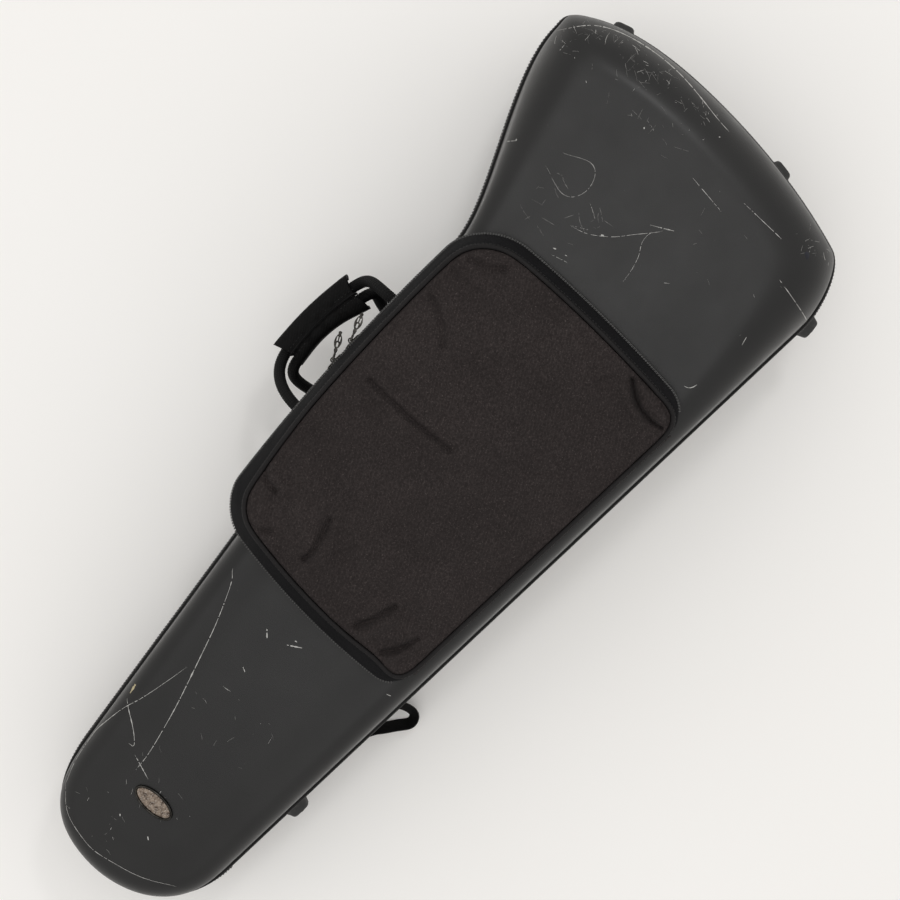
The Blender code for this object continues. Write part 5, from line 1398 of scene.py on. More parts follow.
def wall_frame(spot, outward, z):
    """A frame on the outer wall: x along the rim, y out of the wall, z up it."""
    sign = 1 if z >= 0 else -1
    tip = Matrix.Rotation(sign * DRAFT, 4, "X")
    turn = Matrix.Rotation(math.atan2(outward.y, outward.x) - math.pi / 2, 4, "Z")
    place = spot - outward * abs(z) * math.tan(DRAFT)
    return Matrix.Translation((place.x, place.y, z)) @ turn @ tip


def handle_side(x):
    """Where the handle side's rim stands at a place along the case, and its outward way."""
    return rim_point("taper" if x < TAPER_END[0] else "waist", 0, x)


def anchor_frame(x, z):
    """The seat of an anchor plate, clear of the wall where the wall bends out under its ends."""
    spot, outward = handle_side(x)
    proud = 0
    for end in (x - ANCHOR_LENGTH / 2, x + ANCHOR_LENGTH / 2):
        proud = max(proud, (handle_side(end)[0] - spot).dot(outward))
    return wall_frame(spot + outward * proud, outward, z)


GRIP_MIDDLE = handle_side(HANDLE_X)[0] + Vector((0, GRIP_STANDOFF, 0))


def grip_path(steps=6):
    points = []
    for step in range(steps + 1):
        share = 2 * step / steps - 1
        points.append(GRIP_MIDDLE + Vector((GRIP_LENGTH / 2 * share, -GRIP_BOW * share * share, 0)))
    return points


def loop_path(sign, span):
    """Out of one anchor, along the grip and back into the other, as the solid loop runs."""
    ends = [anchor_frame(HANDLE_X + side * span / 2, sign * LOOP_ANCHOR_Z) for side in (-1, 1)]
    middle = [p + Vector((0, sign * LOOP_GRIP_SPREAD, sign * LOOP_GRIP_Z)) for p in grip_path()]
    along = Vector((1, 4 * GRIP_BOW / GRIP_LENGTH, 0)).normalized()
    seat = FIT_GAP * 2 + ANCHOR_THICKNESS
    legs = []
    ways = (-along, along.reflect(Vector((0, 1, 0))))
    for place, start, way in zip(ends, (middle[0], middle[-1]), ways):
        foot = place @ Vector((0, seat, 0))
        out = place.to_3x3() @ Vector((0, 1, 0))
        reach = (start - foot).length
        knots = (
            (foot + out * LOOP_RADIUS, out, out * reach * 0.5),
            (start, -way * LOOP_SHOULDER, way),
        )
        legs.append([foot] + bezier_path(knots, (24,)))
    return legs[0] + middle[1:-1] + legs[1][::-1], ends


RIB_PITCH = 0.0026
RIB_DEPTH = 0.085
ROUND_STEPS = 22


def corded(path, radius):
    """A padded tube in a ribbed woven sleeve: the ribs lean round it like the lay of a rope."""
    line = even(path, RIB_PITCH / 5)
    rings = []
    previous = None
    for i, point in enumerate(line):
        before, after = line[max(i - 1, 0)], line[min(i + 1, len(line) - 1)]
        along = (after - before).normalized()
        side = along.cross(UPWARD).normalized() if previous is None else (
            previous - along * previous.dot(along)
        ).normalized()
        previous = side
        rise = side.cross(along)
        ring = []
        for k in range(ROUND_STEPS):
            turn = 2 * math.pi * k / ROUND_STEPS
            phase = i / 5 + 0.5 * math.sin(turn)
            rib = abs(math.sin(math.pi * phase)) ** 0.7
            reach = radius * (1 - RIB_DEPTH * (1 - rib))
            ring.append(point + side * (reach * math.cos(turn)) + rise * (reach * math.sin(turn)))
        rings.append(ring)
    return loft(rings)


GRIP_STEPS = 60
GRIP_SEAM = 0.0042


def cover_sections(side, count):
    """The cover's section for each place along the grip, narrowed towards the narrow end inside."""
    seam = GRIP_WEB / 2 + FIT_GAP
    skin = GRIP_SKIN
    sections = []
    for k in range(count):
        share = k / (count - 1)
        if side > 0:
            wide = 1.0 - 0.05 * math.sin(math.pi * share)
        else:
            wide = 0.66 + 0.34 * share - 0.16 * math.sin(math.pi * share)
        half = GRIP_HALF_WIDTH * wide
        shoulder = half * 0.74
        lift = 1 - 0.05 * math.cos(2 * math.pi * share)
        top, skirt = GRIP_TOP * lift, GRIP_SKIRT
        puff = 0.0007 * math.sin(math.pi * share * 9)
        outer = [(seam, top), (seam + 0.0016, top - 0.0008)]
        outer += [(half * 0.32, top + 0.0004 + puff), (half * 0.54, top), (shoulder, top - skin * 0.5)]
        outer += [(half * 0.90, top * 0.82), (half * 0.985, top * 0.62), (half, top * 0.30)]
        outer += [(half, -skirt * 0.35), (half * 0.98, -skirt * 0.7), (half * 0.92, -skirt)]
        inner = [(half * 0.92 - skin, -skirt), (half * 0.98 - skin, -skirt * 0.7)]
        inner += [(half - skin, -skirt * 0.35), (half - skin, top * 0.30)]
        inner += [(half * 0.90 - skin, top * 0.66), (shoulder - skin * 0.5, top - skin * 1.5)]
        inner += [(half * 0.32, top - skin), (seam, top - skin)]
        sections.append([(-side * a, b) for a, b in outer + inner])
    return sections


def pinch_ends(shape, side):
    """Draws the cover's corners out into soft points, as the folded cloth stands at its ends."""
    half = GRIP_LENGTH / 2
    for vertex in shape.verts:
        share = (vertex.co.x - GRIP_MIDDLE.x) / half
        away = side * (vertex.co.y - GRIP_MIDDLE.y) / GRIP_HALF_WIDTH
        tip = smoothstep(abs(share), 0.70, 1.0)
        reach = smoothstep(away, 0.25, 1.0)
        vertex.co.x += math.copysign(1, share) * tip * (0.0030 * reach - 0.0022 * (1 - reach))
        vertex.co.z += 0.0004 * noise.noise(Vector((vertex.co.x * 55, vertex.co.y * 55, side)))


def build_handle():
    for name, sign, body in (("front", 1, "lid"), ("rear", -1, "back_half")):
        path, ends = loop_path(sign, LOOP_SPANS[name])
        loop = corded(path, LOOP_RADIUS)
        add_piece(f"{name}_corded_loop", loop, "webbing", body, RIM, [f"{name}_handle_loop"])
        for place, end in zip(ends, ("heel", "bell")):
            size = (ANCHOR_LENGTH, ANCHOR_THICKNESS, ANCHOR_HEIGHT)
            centre = (0, FIT_GAP + ANCHOR_THICKNESS / 2, 0)
            plate = brick(size, centre, 0.0012, 3)
            stands = [f"{name}_handle_anchor_{end}"]
            add_piece(f"{name}_anchor_{end}", plate, "plastic", body, RIM @ place, stands)
            seat = FIT_GAP + ANCHOR_THICKNESS
            collar = [place @ Vector((0, seat + rise, 0)) for rise in (0.0, 0.0022, 0.0044)]
            wide = LOOP_RADIUS * 1.25
            sections = [circle(wide * share, ROUND_STEPS) for share in (1.0, 0.98, 0.90)]
            out = place.to_3x3() @ UPWARD
            add_piece(f"{name}_collar_{end}", sweep(collar, sections, out), "plastic", body, RIM)
    path = grip_path(GRIP_STEPS)
    for name, side, body in (("outer", 1, "grip_flap"), ("inner", -1, "lid")):
        cover = sweep(path, cover_sections(side, len(path)))
        pinch_ends(cover, side)
        piece = add_piece(f"{name}_grip_cloth", cover, "grip", body, RIM, [f"grip_{name}_cover"], 50)
        row = [p + Vector((0, side * GRIP_SEAM, GRIP_TOP * 0.985)) for p in path]
        add_stitches(f"{name}_grip_stitches", row, "grip", body, 0.0040, RIM, 0.002)
    half = GRIP_WEB / 2
    top = GRIP_TOP + GRIP_WEB
    section = [(-half, top - half), (-half * 0.6, top), (half * 0.6, top), (half, top - half)]
    section += [(half, -LOOP_RADIUS), (-half, -LOOP_RADIUS)]
    add_piece("grip_sewn_seam", sweep(path, section), "webbing", "lid", RIM, ["grip_seam_web"])


# Feet and badge

FEET = (
    # name, the rim's stretch that it stands on, and where: an axis, x (0) or y (1), and a place
    ("side_bell", "hinge_corner", 0, 0.881),
    ("side_heel", "hinge", 0, 0.176),
    ("end_hinge", "bell", 1, 0.1245),
    ("end_handle", "bell", 1, 0.329),
)
FOOT_STATIONS = (
    # share of the full size, reach from the wall and corner radius
    (1.00, FIT_GAP, 0.0030), (1.00, 0.0022, 0.0034), (0.965, 0.0042, 0.0042),
    (0.86, 0.0072, 0.0050), (0.77, 0.0105, 0.0054), (0.71, 0.0134, 0.0054),
    (0.665, 0.0151, 0.0054), (0.59, 0.0161, 0.0050), (0.46, FOOT_REACH, 0.0040),
)


def foot():
    """A moulded rubber block: broad seat, hollowed sides, softly domed top."""
    rings = []
    for share, reach, corner in FOOT_STATIONS:
        half_x, half_z = FOOT_SIZE[0] / 2 * share, FOOT_SIZE[1] / 2 * share
        outline = rounded_rectangle((-half_x, -half_z), (half_x, half_z), corner, 7)
        rings.append([(a, reach, b) for a, b in outline])
    return loft(rings)


def build_feet():
    for name, stretch, axis, value in FEET:
        spot, outward = rim_point(stretch, axis, value)
        place = RIM @ wall_frame(spot, outward, -FOOT_DROP)
        add_piece(f"rubber_foot_{name}", foot(), "rubber", "back_half", place, [f"foot_{name}"], 60)
        head = place @ Matrix.Translation((0, FOOT_REACH + 0.0004, 0))
        screw = bmesh.new()
        bmesh.ops.create_cone(
            screw, segments=24, radius1=0.0032, radius2=0.0024, depth=0.0010, cap_ends=True,
            matrix=head @ Matrix.Rotation(-math.pi / 2, 4, "X"),
        )
        add_piece(f"foot_screw_{name}", screw, "nickel", "back_half")


BADGE_RIM = 0.0024
BADGE_TOP = 0.0026
BADGE_GRAIN = 0.00016
BADGE_RIM_SECTION = (
    # share of the rim's width inwards and of its height
    (0, 0), (0, 0.45), (0.06, 0.72), (0.22, 0.92), (0.45, 1.0), (0.68, 0.95), (0.86, 0.80),
    (0.97, 0.62), (1.0, 0.40), (1.0, 0),
)


def oval(length, width, count=72):
    turn = 2 * math.pi / count
    return [(width / 2 * math.cos(turn * i), length / 2 * math.sin(turn * i)) for i in range(count)]


def build_badge():
    place = FACE @ Matrix.Translation((*BADGE_SPOT, FIT_GAP)) @ Matrix.Rotation(BADGE_TURN, 4, "Z")
    wide, long = BADGE_SIZE
    rings = []
    for trim, height in BADGE_RIM_SECTION:
        inset = 2 * BADGE_RIM * trim
        rings.append([(x, y, BADGE_TOP * height) for x, y in oval(long - inset, wide - inset)])
    rim = loft(rings, round_again=True)
    add_piece("badge_bright_rim", rim, "antique", "lid", place, ["badge_rim"], 60)
    gap = BADGE_RIM + FIT_GAP
    rings = [[(x, y, 0) for x, y in oval(long - 2 * gap, wide - 2 * gap)]]
    for share in (1.0, 0.97, 0.90, 0.78, 0.62, 0.44, 0.24, 0.08):
        outline = oval((long - 2 * gap) * share, (wide - 2 * gap) * share)
        ring = []
        for x, y in outline:
            grain = noise.noise(Vector((x * 900, y * 900, 1.7))) * BADGE_GRAIN
            ring.append((x, y, 0.0013 + 0.0006 * (1 - share**4) + grain * (share < 0.99)))
        rings.append(ring)
    add_piece("badge_bare_plate", loft(rings), "bronze", "lid", place, ["badge_plate"], 60)


# Zip sliders and their pulls

PULL_THICKNESS = 0.0014
PULL_EYE = [(0.0008, -0.0016), (0.0052, -0.0016), (0.0052, 0.0016), (0.0008, 0.0016)]
EYE_END = 0.0074


def slider_shell(reach, top, bottom, tape_reach):
    """The slider: a waisted face plate with rolled edges, and a flange behind the fixed chain."""
    plate = reach + SLIDER_GAP
    half = SLIDER_LENGTH / 2
    rings = []
    for k in range(17):
        share = 2 * k / 16 - 1
        waist = 1 - 0.20 * math.exp(-((share / 0.45) ** 2)) - 0.34 * smoothstep(abs(share), 0.72, 1.0)
        middle = (top - bottom) / 2
        high = middle + (top - middle) * waist
        low = middle - (middle + bottom) * waist
        crown = 0.00035 * (1 - share * share)
        outer = plate + SLIDER_PLATE
        points = [(plate, high), (plate + SLIDER_PLATE * 0.5, high), (outer - 0.0004, high - 0.0003)]
        points += [(outer + crown, middle + (high - middle) * 0.5), (outer + crown, middle)]
        points += [(outer + crown, middle + (low - middle) * 0.5), (outer - 0.0004, low + 0.0003)]
        points += [(plate + SLIDER_PLATE * 0.5, -bottom), (tape_reach, -bottom)]
        points += [(tape_reach, -bottom + SLIDER_PLATE), (plate, -bottom + SLIDER_PLATE)]
        rings.append([(half * share, y, z) for y, z in points])
    return loft(rings)


def slider_arch():
    """The rolled arch that traps the pull, its middle on the pull's bar."""
    foot_depth = BAR_HEIGHT + SLIDER_PLATE / 2
    radius = BRIDGE_RADIUS + BRIDGE_THICKNESS / 2
    path = [(radius, -foot_depth, 0)]
    path += [
        (radius * math.cos(math.pi * k / 16), radius * math.sin(math.pi * k / 16), 0)
        for k in range(17)
    ]
    path.append((-radius, -foot_depth, 0))
    section = [(a * BRIDGE_THICKNESS * 0.5, b * 0.0011) for a, b in circle(1.0, 14)]
    return sweep(path, section)


def plain_pull():
    """A long flat pull, waisted, pierced at its root and again near its toe."""
    half = PULL_WIDTH / 2
    outline = [(-0.0007, -half * 0.80), (0.0056, -half * 0.88), (0.0076, -half * 0.60)]
    outline += [(0.0140, -half * 0.56), (0.0170, -half * 0.92), (0.0250, -half)]
    outline += [(0.0274, -half * 0.72), (PULL_LENGTH, -half * 0.30)]
    outline += [(x, -y) for x, y in outline[::-1]]
    return pierced(outline, [PULL_EYE, slot_outline(0.0186, 0.0246, 0.0016)])


def slot_outline(start, end, half):
    points = []
    for centre, turn in ((end - half, -90), (start + half, 90)):
        for k in range(9):
            angle = math.radians(turn + 180 * k / 8)
            points.append((centre + half * math.cos(angle), half * math.sin(angle)))
    return points


def leaf_pull():
    """A dressy pull: a ring at its root and an openwork drop below it, with a narrow toe."""
    outline = [(-0.0007, -0.0030), (0.0054, -0.0033), (0.0084, -0.0014), (0.0104, -0.0018)]
    for k in range(13):
        share = k / 12
        bulge = math.sin(math.pi * share) ** 0.8
        outline.append((0.0112 + 0.0138 * share, -0.0012 - 0.0024 * bulge))
    outline += [(0.0260, -0.0016), (0.0274, -0.0015), (PULL_LENGTH, -0.0006)]
    outline += [(x, -y) for x, y in outline[::-1]]
    holes = [PULL_EYE, slot_outline(0.0128, 0.0172, 0.0010)]
    for side in (-1, 1):
        holes.append([(x, y + side * 0.0012) for x, y in slot_outline(0.0182, 0.0228, 0.00065)])
    return pierced(outline, holes)


def twisted(shape):
    """Turns a pull's blade flat, past the eye at its root, as it lies when it hangs over an edge."""
    everything = shape.verts[:] + shape.edges[:] + shape.faces[:]
    bmesh.ops.bisect_plane(shape, geom=everything, plane_co=(EYE_END, 0, 0), plane_no=(1, 0, 0))
    for vertex in shape.verts:
        turn = math.pi / 2 * smoothstep(vertex.co.x, 0.0058, 0.0104)
        y, z = vertex.co.y, vertex.co.z
        vertex.co.y = y * math.cos(turn) - z * math.sin(turn)
        vertex.co.z = y * math.sin(turn) + z * math.cos(turn)
    return shape


def pierced(outline, holes, thickness=PULL_THICKNESS):
    """A flat plate with openings through it, its outline in x and z."""
    points = [Vector(p) for p in outline]
    links = [(i, (i + 1) % len(points)) for i in range(len(points))]
    for hole in holes:
        start = len(points)
        points += [Vector(p) for p in hole]
        links += [(start + i, start + (i + 1) % len(hole)) for i in range(len(hole))]
    flat, _, faces, *_ = delaunay_2d_cdt(points, links, [], 1, 1e-8)
    shape = bmesh.new()
    verts = [shape.verts.new((p.x, -thickness / 2, p.y)) for p in flat]

    def inside(spot, ring):
        found = False
        for (ax, ay), (bx, by) in zip(ring, ring[1:] + ring[:1]):
            if (ay > spot.y) != (by > spot.y) and spot.x < (bx - ax) * (spot.y - ay) / (by - ay) + ax:
                found = not found
        return found

    for face in faces:
        middle = sum((flat[i] for i in face), Vector((0, 0))) / len(face)
        if inside(middle, outline) and not any(inside(middle, hole) for hole in holes):
            shape.faces.new([verts[i] for i in face])
    loose = [v for v in shape.verts if not v.link_faces]
    bmesh.ops.delete(shape, geom=loose, context="VERTS")
    lower = shape.faces[:]
    found = bmesh.ops.extrude_face_region(shape, geom=lower)
    moved = [part for part in found["geom"] if isinstance(part, bmesh.types.BMVert)]
    bmesh.ops.translate(shape, verts=moved, vec=(0, thickness, 0))
    return shape


def add_slider(name, place, sizes, turn, finish, pull):
    """A slider's face plate, its arch and the pull that hangs in the arch."""
    reach, top, bottom, tape_reach = sizes
    body = f"{name}_body"
    shell = slider_shell(reach, top, bottom, tape_reach)
    add_piece(f"{name}_plate", shell, finish, body, RIM @ place, [name], 40)
    bar = place @ Matrix.Translation(
        (0, reach + SLIDER_GAP + SLIDER_PLATE + BAR_HEIGHT, (top - bottom) / 2)
    )
    add_piece(f"{name}_arch", slider_arch(), finish, body, RIM @ bar)
    tab = name.replace("slider", "pull")
    turned = RIM @ bar @ Matrix.Rotation(turn, 4, "Z")
    add_piece(f"{tab}_tab", pull, finish, f"{tab}_body", turned, [tab], 40)


def build_sliders():
    spot, outward = rim_point("taper", 0, SLIDER_A_X)
    turn = Matrix.Rotation(math.atan2(outward.y, outward.x) - math.pi / 2, 4, "Z")
    edge = Matrix.Translation(spot) @ turn
    sizes = (
        FIT_GAP + TEETH_REACH, SLIDER_TOP, SLIDER_BOTTOM, FIT_GAP + TAPE_THICKNESS + SLIDER_GAP
    )
    for name, shift, angle in (("a", 0, math.pi), ("b", SLIDER_PITCH, 0)):
        place = edge @ Matrix.Translation((shift, 0, 0))
        add_slider(f"main_slider_{name}", place, sizes, angle, "nickel", plain_pull())
    x = POCKET_HEEL_X + POCKET_SLIDER_REACH
    y = pocket_side(x)[0]
    rise = pocket_side(x + POCKET_SLIDER_PITCH / 2)[1]
    seam = CHAIN_MIDDLE + FIT_GAP
    edge = Matrix.Translation((x, y, seam)) @ Matrix.Rotation(math.atan(rise), 4, "Z")
    sizes = (0, POCKET_CHAIN + FIT_GAP, seam + SLIDER_GAP + SLIDER_PLATE, -POCKET_CHAIN_WIDTH)
    local = RIM.inverted() @ FACE
    for name, shift in (("a", 0), ("b", POCKET_SLIDER_PITCH)):
        place = local @ edge @ Matrix.Translation((shift, 0, 0))
        pull = twisted(leaf_pull())
        add_slider(
            f"pocket_slider_{name}", place, sizes, POCKET_PULL_ANGLES[name], "antique", pull
        )


# The back's shoulder straps

STRAP_TRIM = 0.0016
STRAP_PITCH = 0.0042
PATCH_PITCH = 0.0040
PATCH_SEAM = 0.0032


def strap_outline(length, trim):
    """Places along a strap with half its width there; it is narrow at both ends."""
    sides = []
    for k in range(41):
        share = k / 40
        ease = math.sin(math.pi * share) ** 0.5
        half = (STRAP_WIDTHS[0] + (STRAP_WIDTHS[1] - STRAP_WIDTHS[0]) * ease) / 2 - trim
        sides.append((trim + (length - 2 * trim) * share, half))
    return sides


def padded_strap(length):
    """A quilted strap: flat where it bears on the back, its outside swelling between two seams."""
    steps = 16
    rings = []
    thick = STRAP_THICKNESS
    for x, half in strap_outline(length, STRAP_TRIM):
        ring = []
        for k in range(steps + 1):
            v = 2 * k / steps - 1
            swell = (1 - abs(v) ** 2.6) ** 0.5
            channel = 1 - 0.34 * math.exp(-((abs(v) - 0.62) / 0.07) ** 2)
            puff = 0.92 + 0.08 * noise.noise(Vector((x * 45, v * 2.0, 0.4)))
            ring.append((x, v * half, -FIT_GAP - thick * (0.34 + 0.66 * swell * channel) * puff))
        ring += [(x, v * half, -FIT_GAP) for v in (0.985, 0.5, 0.0, -0.5, -0.985)]
        rings.append(ring)
    return loft(rings)


def build_straps():
    face = -FIT_GAP - PATCH_THICKNESS
    for name, (heel_y, bell_y) in STRAP_YS.items():
        turn = math.atan2(bell_y - heel_y, STRAP_XS[1] - STRAP_XS[0])
        length = math.hypot(bell_y - heel_y, STRAP_XS[1] - STRAP_XS[0])
        heel_end = BACK @ Matrix.Translation((STRAP_XS[0], heel_y, 0)) @ Matrix.Rotation(turn, 4, "Z")
        bell_end = heel_end @ Matrix.Translation((length, 0, 0))
        strap = add_piece(
            f"padded_strap_{name}", padded_strap(length), "strap", "back_half", heel_end,
            [f"shoulder_strap_{name}"], 70,
        )
        for side, label in ((-1, "near"), (1, "far")):
            line = [
                (x, side * (half + 0.0001), -FIT_GAP - 0.0020)
                for x, half in strap_outline(length, STRAP_TRIM)
            ]
            binding = sweep(line, [(a * 0.0016, b * 0.0017) for a, b in circle(1, 10)])
            add_piece(f"strap_binding_{label}_{name}", binding, "webbing", "back_half", heel_end)
            row = [
                (x, side * half * 0.62, -FIT_GAP - 0.0049)
                for x, half in strap_outline(length, 0.004)
            ]
            seam = f"strap_stitches_{label}_{name}"
            add_stitches(seam, row, "strap", "back_half", STRAP_PITCH, heel_end)
        half = STRAP_WIDTHS[0] / 2
        outline = rounded_rectangle((FIT_GAP, -half), (PATCH_LENGTH, half), half / 3, 6)
        patch = slab(outline, -FIT_GAP - PATCH_THICKNESS, -FIT_GAP, 0.0010)
        add_piece(f"sewn_patch_{name}", patch, "grip", "back_half", bell_end, [f"strap_patch_{name}"])
        ax, ay = PATCH_SEAM, PATCH_SEAM - half
        bx, by = PATCH_LENGTH - PATCH_SEAM, half - PATCH_SEAM
        ring = rounded_rectangle((FIT_GAP + ax, ay), (bx, by), 0.002)
        box = [(x, y, face) for x, y in ring]
        add_stitches(
            f"patch_stitches_{name}", box, "strap", "back_half", PATCH_PITCH, bell_end, closed=True
        )
        for label, line in (("rising", ((ax, ay), (bx, by))), ("falling", ((ax, by), (bx, ay)))):
            ends = [(x, y, face) for x, y in line]
            seam = f"patch_cross_{label}_{name}"
            add_stitches(seam, ends, "strap", "back_half", PATCH_PITCH, bell_end)
        add_cad_finish(f"ladder_lock_{name}", "plastic")
        end = -FIT_GAP * 2 - LOCK_SIZE[0]
        line = even([(end - WEBBING_LENGTH, 0, 0), (end, 0, 0)], 0.003)
        section = selvedged(WEBBING_WIDTH / 2, -FIT_GAP - WEBBING_THICKNESS, -FIT_GAP)
        add_piece(
            f"woven_end_{name}", sweep(line, section), "webbing", "back_half", heel_end,
            [f"strap_webbing_{name}"],
        )
    build_tail()


TAIL_LAYER = TAIL_THICKNESS * 0.42
TAIL_LOW = -FIT_GAP - TAIL_LAYER / 2
TAIL_WAY = (
    # its middle line: x from TAIL_X, y, and how high it stands off the back
    (-0.022, 0.027, TAIL_LOW), (-0.031, 0.012, TAIL_LOW), (-0.034, 0.001, 0.0030),
    (-0.024, -0.0095, TAIL_STAND), (-0.008, -0.0205, TAIL_STAND), (0.004, -0.0283, TAIL_STAND),
    (0.0120, -0.0268, TAIL_STAND), (0.0145, -0.0205, TAIL_STAND), (0.0110, -0.0100, TAIL_STAND),
    (0.0038, -0.0012, TAIL_STAND),
)
TAIL_CORNERS = (
    # share of half its width and of half its thickness
    (-1, -0.4), (-0.96, -1), (0.96, -1), (1, -0.4), (1, 0.4), (0.96, 1), (-0.96, 1), (-1, 0.4),
)


def build_tail():
    """Webbing that comes out flat from under the case, turns on edge and folds back in a loop."""
    line = even(through([Vector(p) + Vector((TAIL_X, 0, 0)) for p in TAIL_WAY]), 0.0012)
    total = len(line) - 1
    rings = []
    for i, point in enumerate(line):
        along = (line[min(i + 1, total)] - line[max(i - 1, 0)]).normalized()
        share = smoothstep(i / total, 0.14, 0.40)
        flat = along.cross(UPWARD).normalized()
        turn = TAIL_LEAN * share
        across = flat * math.cos(turn) + UPWARD * math.sin(turn)
        face = along.cross(across).normalized()
        half = WEBBING_WIDTH / 2 * (1 - 0.26 * share)
        rings.append(
            [point + across * half * u + face * TAIL_LAYER / 2 * v for u, v in TAIL_CORNERS]
        )
    add_piece("folded_webbing_end", loft(rings), "webbing", "back_half", BACK, ["strap_tail"])


# Padding

# a foam's solid, the name of its piece and its body
BLOCKS = (
    ("back_lining_slide_heel", "slide_padding_heel", "back_half"),
    ("back_lining_slide_middle", "slide_padding_middle", "back_half"),
    ("back_lining_slide_bell", "slide_padding_bell", "back_half"),
    ("back_lining_heel", "accessory_padding", "back_half"),
    ("back_lining_bow", "bow_padding", "back_half"),
    ("back_lining_bell", "bell_padding", "back_half"),
    ("front_lining", "lid_padding", "lid"),
    ("mouthpiece_block", "mouthpiece_foam", "back_half"),
)
VOXEL = 0.0042
SMALL_VOXEL = 0.0022


def build_padding():
    """Plush-covered foam: the solid blocks with every edge rolled over."""
    for node, name, body in BLOCKS:
        mesh = frame["nodes"][node].data.copy()
        shape = bmesh.new()
        shape.from_mesh(mesh)
        bmesh.ops.remove_doubles(shape, verts=shape.verts, dist=1e-6)
        shape.to_mesh(mesh)
        shape.free()
        block = new_object(name + " block", mesh)
        step = block.modifiers.new("remesh", "REMESH")
        step.mode = "VOXEL"
        step.voxel_size = SMALL_VOXEL if node == "mouthpiece_block" else VOXEL
        step = block.modifiers.new("soften", "SMOOTH")
        step.factor = 0.5
        step.iterations = 5
        soft = settled(block)
        for vertex, normal in zip(soft.vertices, [v.normal.copy() for v in soft.vertices]):
            vertex.co -= normal * (0.0004 + 0.0004 * noise.noise(vertex.co * 40))
        piece = add_piece(name, soft, "padding", body, None, [node], 180)


SINGLE_LAYER = 0.62


def hold_strap(length):
    """Soft webbing over a bay, its corners taken off, its free end doubled into a grab tab."""
    low = -LINING_DROP + FIT_GAP
    line = even([(0, 0, 0), (0, length, 0)], 0.003)
    sections = []
    for k in range(len(line)):
        share = k / (len(line) - 1)
        tuck = 1 - 0.10 * (smoothstep(share, 0.94, 1.0) + smoothstep(1 - share, 0.94, 1.0))
        doubled = smoothstep(share, 0.80, 0.83)
        top = low + HOLD_STRAP_THICKNESS * (SINGLE_LAYER + (1 - SINGLE_LAYER) * doubled)
        sections.append(selvedged(HOLD_STRAP_WIDTH / 2 * tuck, low, top))
    return sweep(line, sections)


def build_hold_straps():
    start, end = SLIDE_STRAP_SPAN
    bell = (
        Matrix.Translation((*BELL_AXIS_SPOT, 0))
        @ Matrix.Rotation(math.pi + BELL_AXIS_ANGLE, 4, "Z")
        @ Matrix.Translation((BELL_STRAP_STATION, -BELL_STRAP_HALF_LENGTH, 0))
    )
    places = [
        (f"slide_strap_{name}", Matrix.Translation((x, start, 0)), end - start)
        for name, x in SLIDE_STRAP_XS.items()
    ]
    places.append(("bell_strap", bell, 2 * BELL_STRAP_HALF_LENGTH))
    for name, place, length in places:
        strap = hold_strap(length)
        add_piece(f"{name}_webbing", strap, "webbing", "back_half", RIM @ place, [name])
        low = -LINING_DROP + FIT_GAP
        for label, at in (("root", 0.006), ("tab", length * 0.845)):
            wide = HOLD_STRAP_WIDTH / 2 - 0.003
            height = low + HOLD_STRAP_THICKNESS * (SINGLE_LAYER if label == "root" else 1.0)
            row = [(wide, at, height), (-wide, at, height)]
            seam = f"{name}_stitches_{label}"
            add_stitches(seam, row, "hold strap", "back_half", 0.0036, RIM @ place)


# Wear on the lid

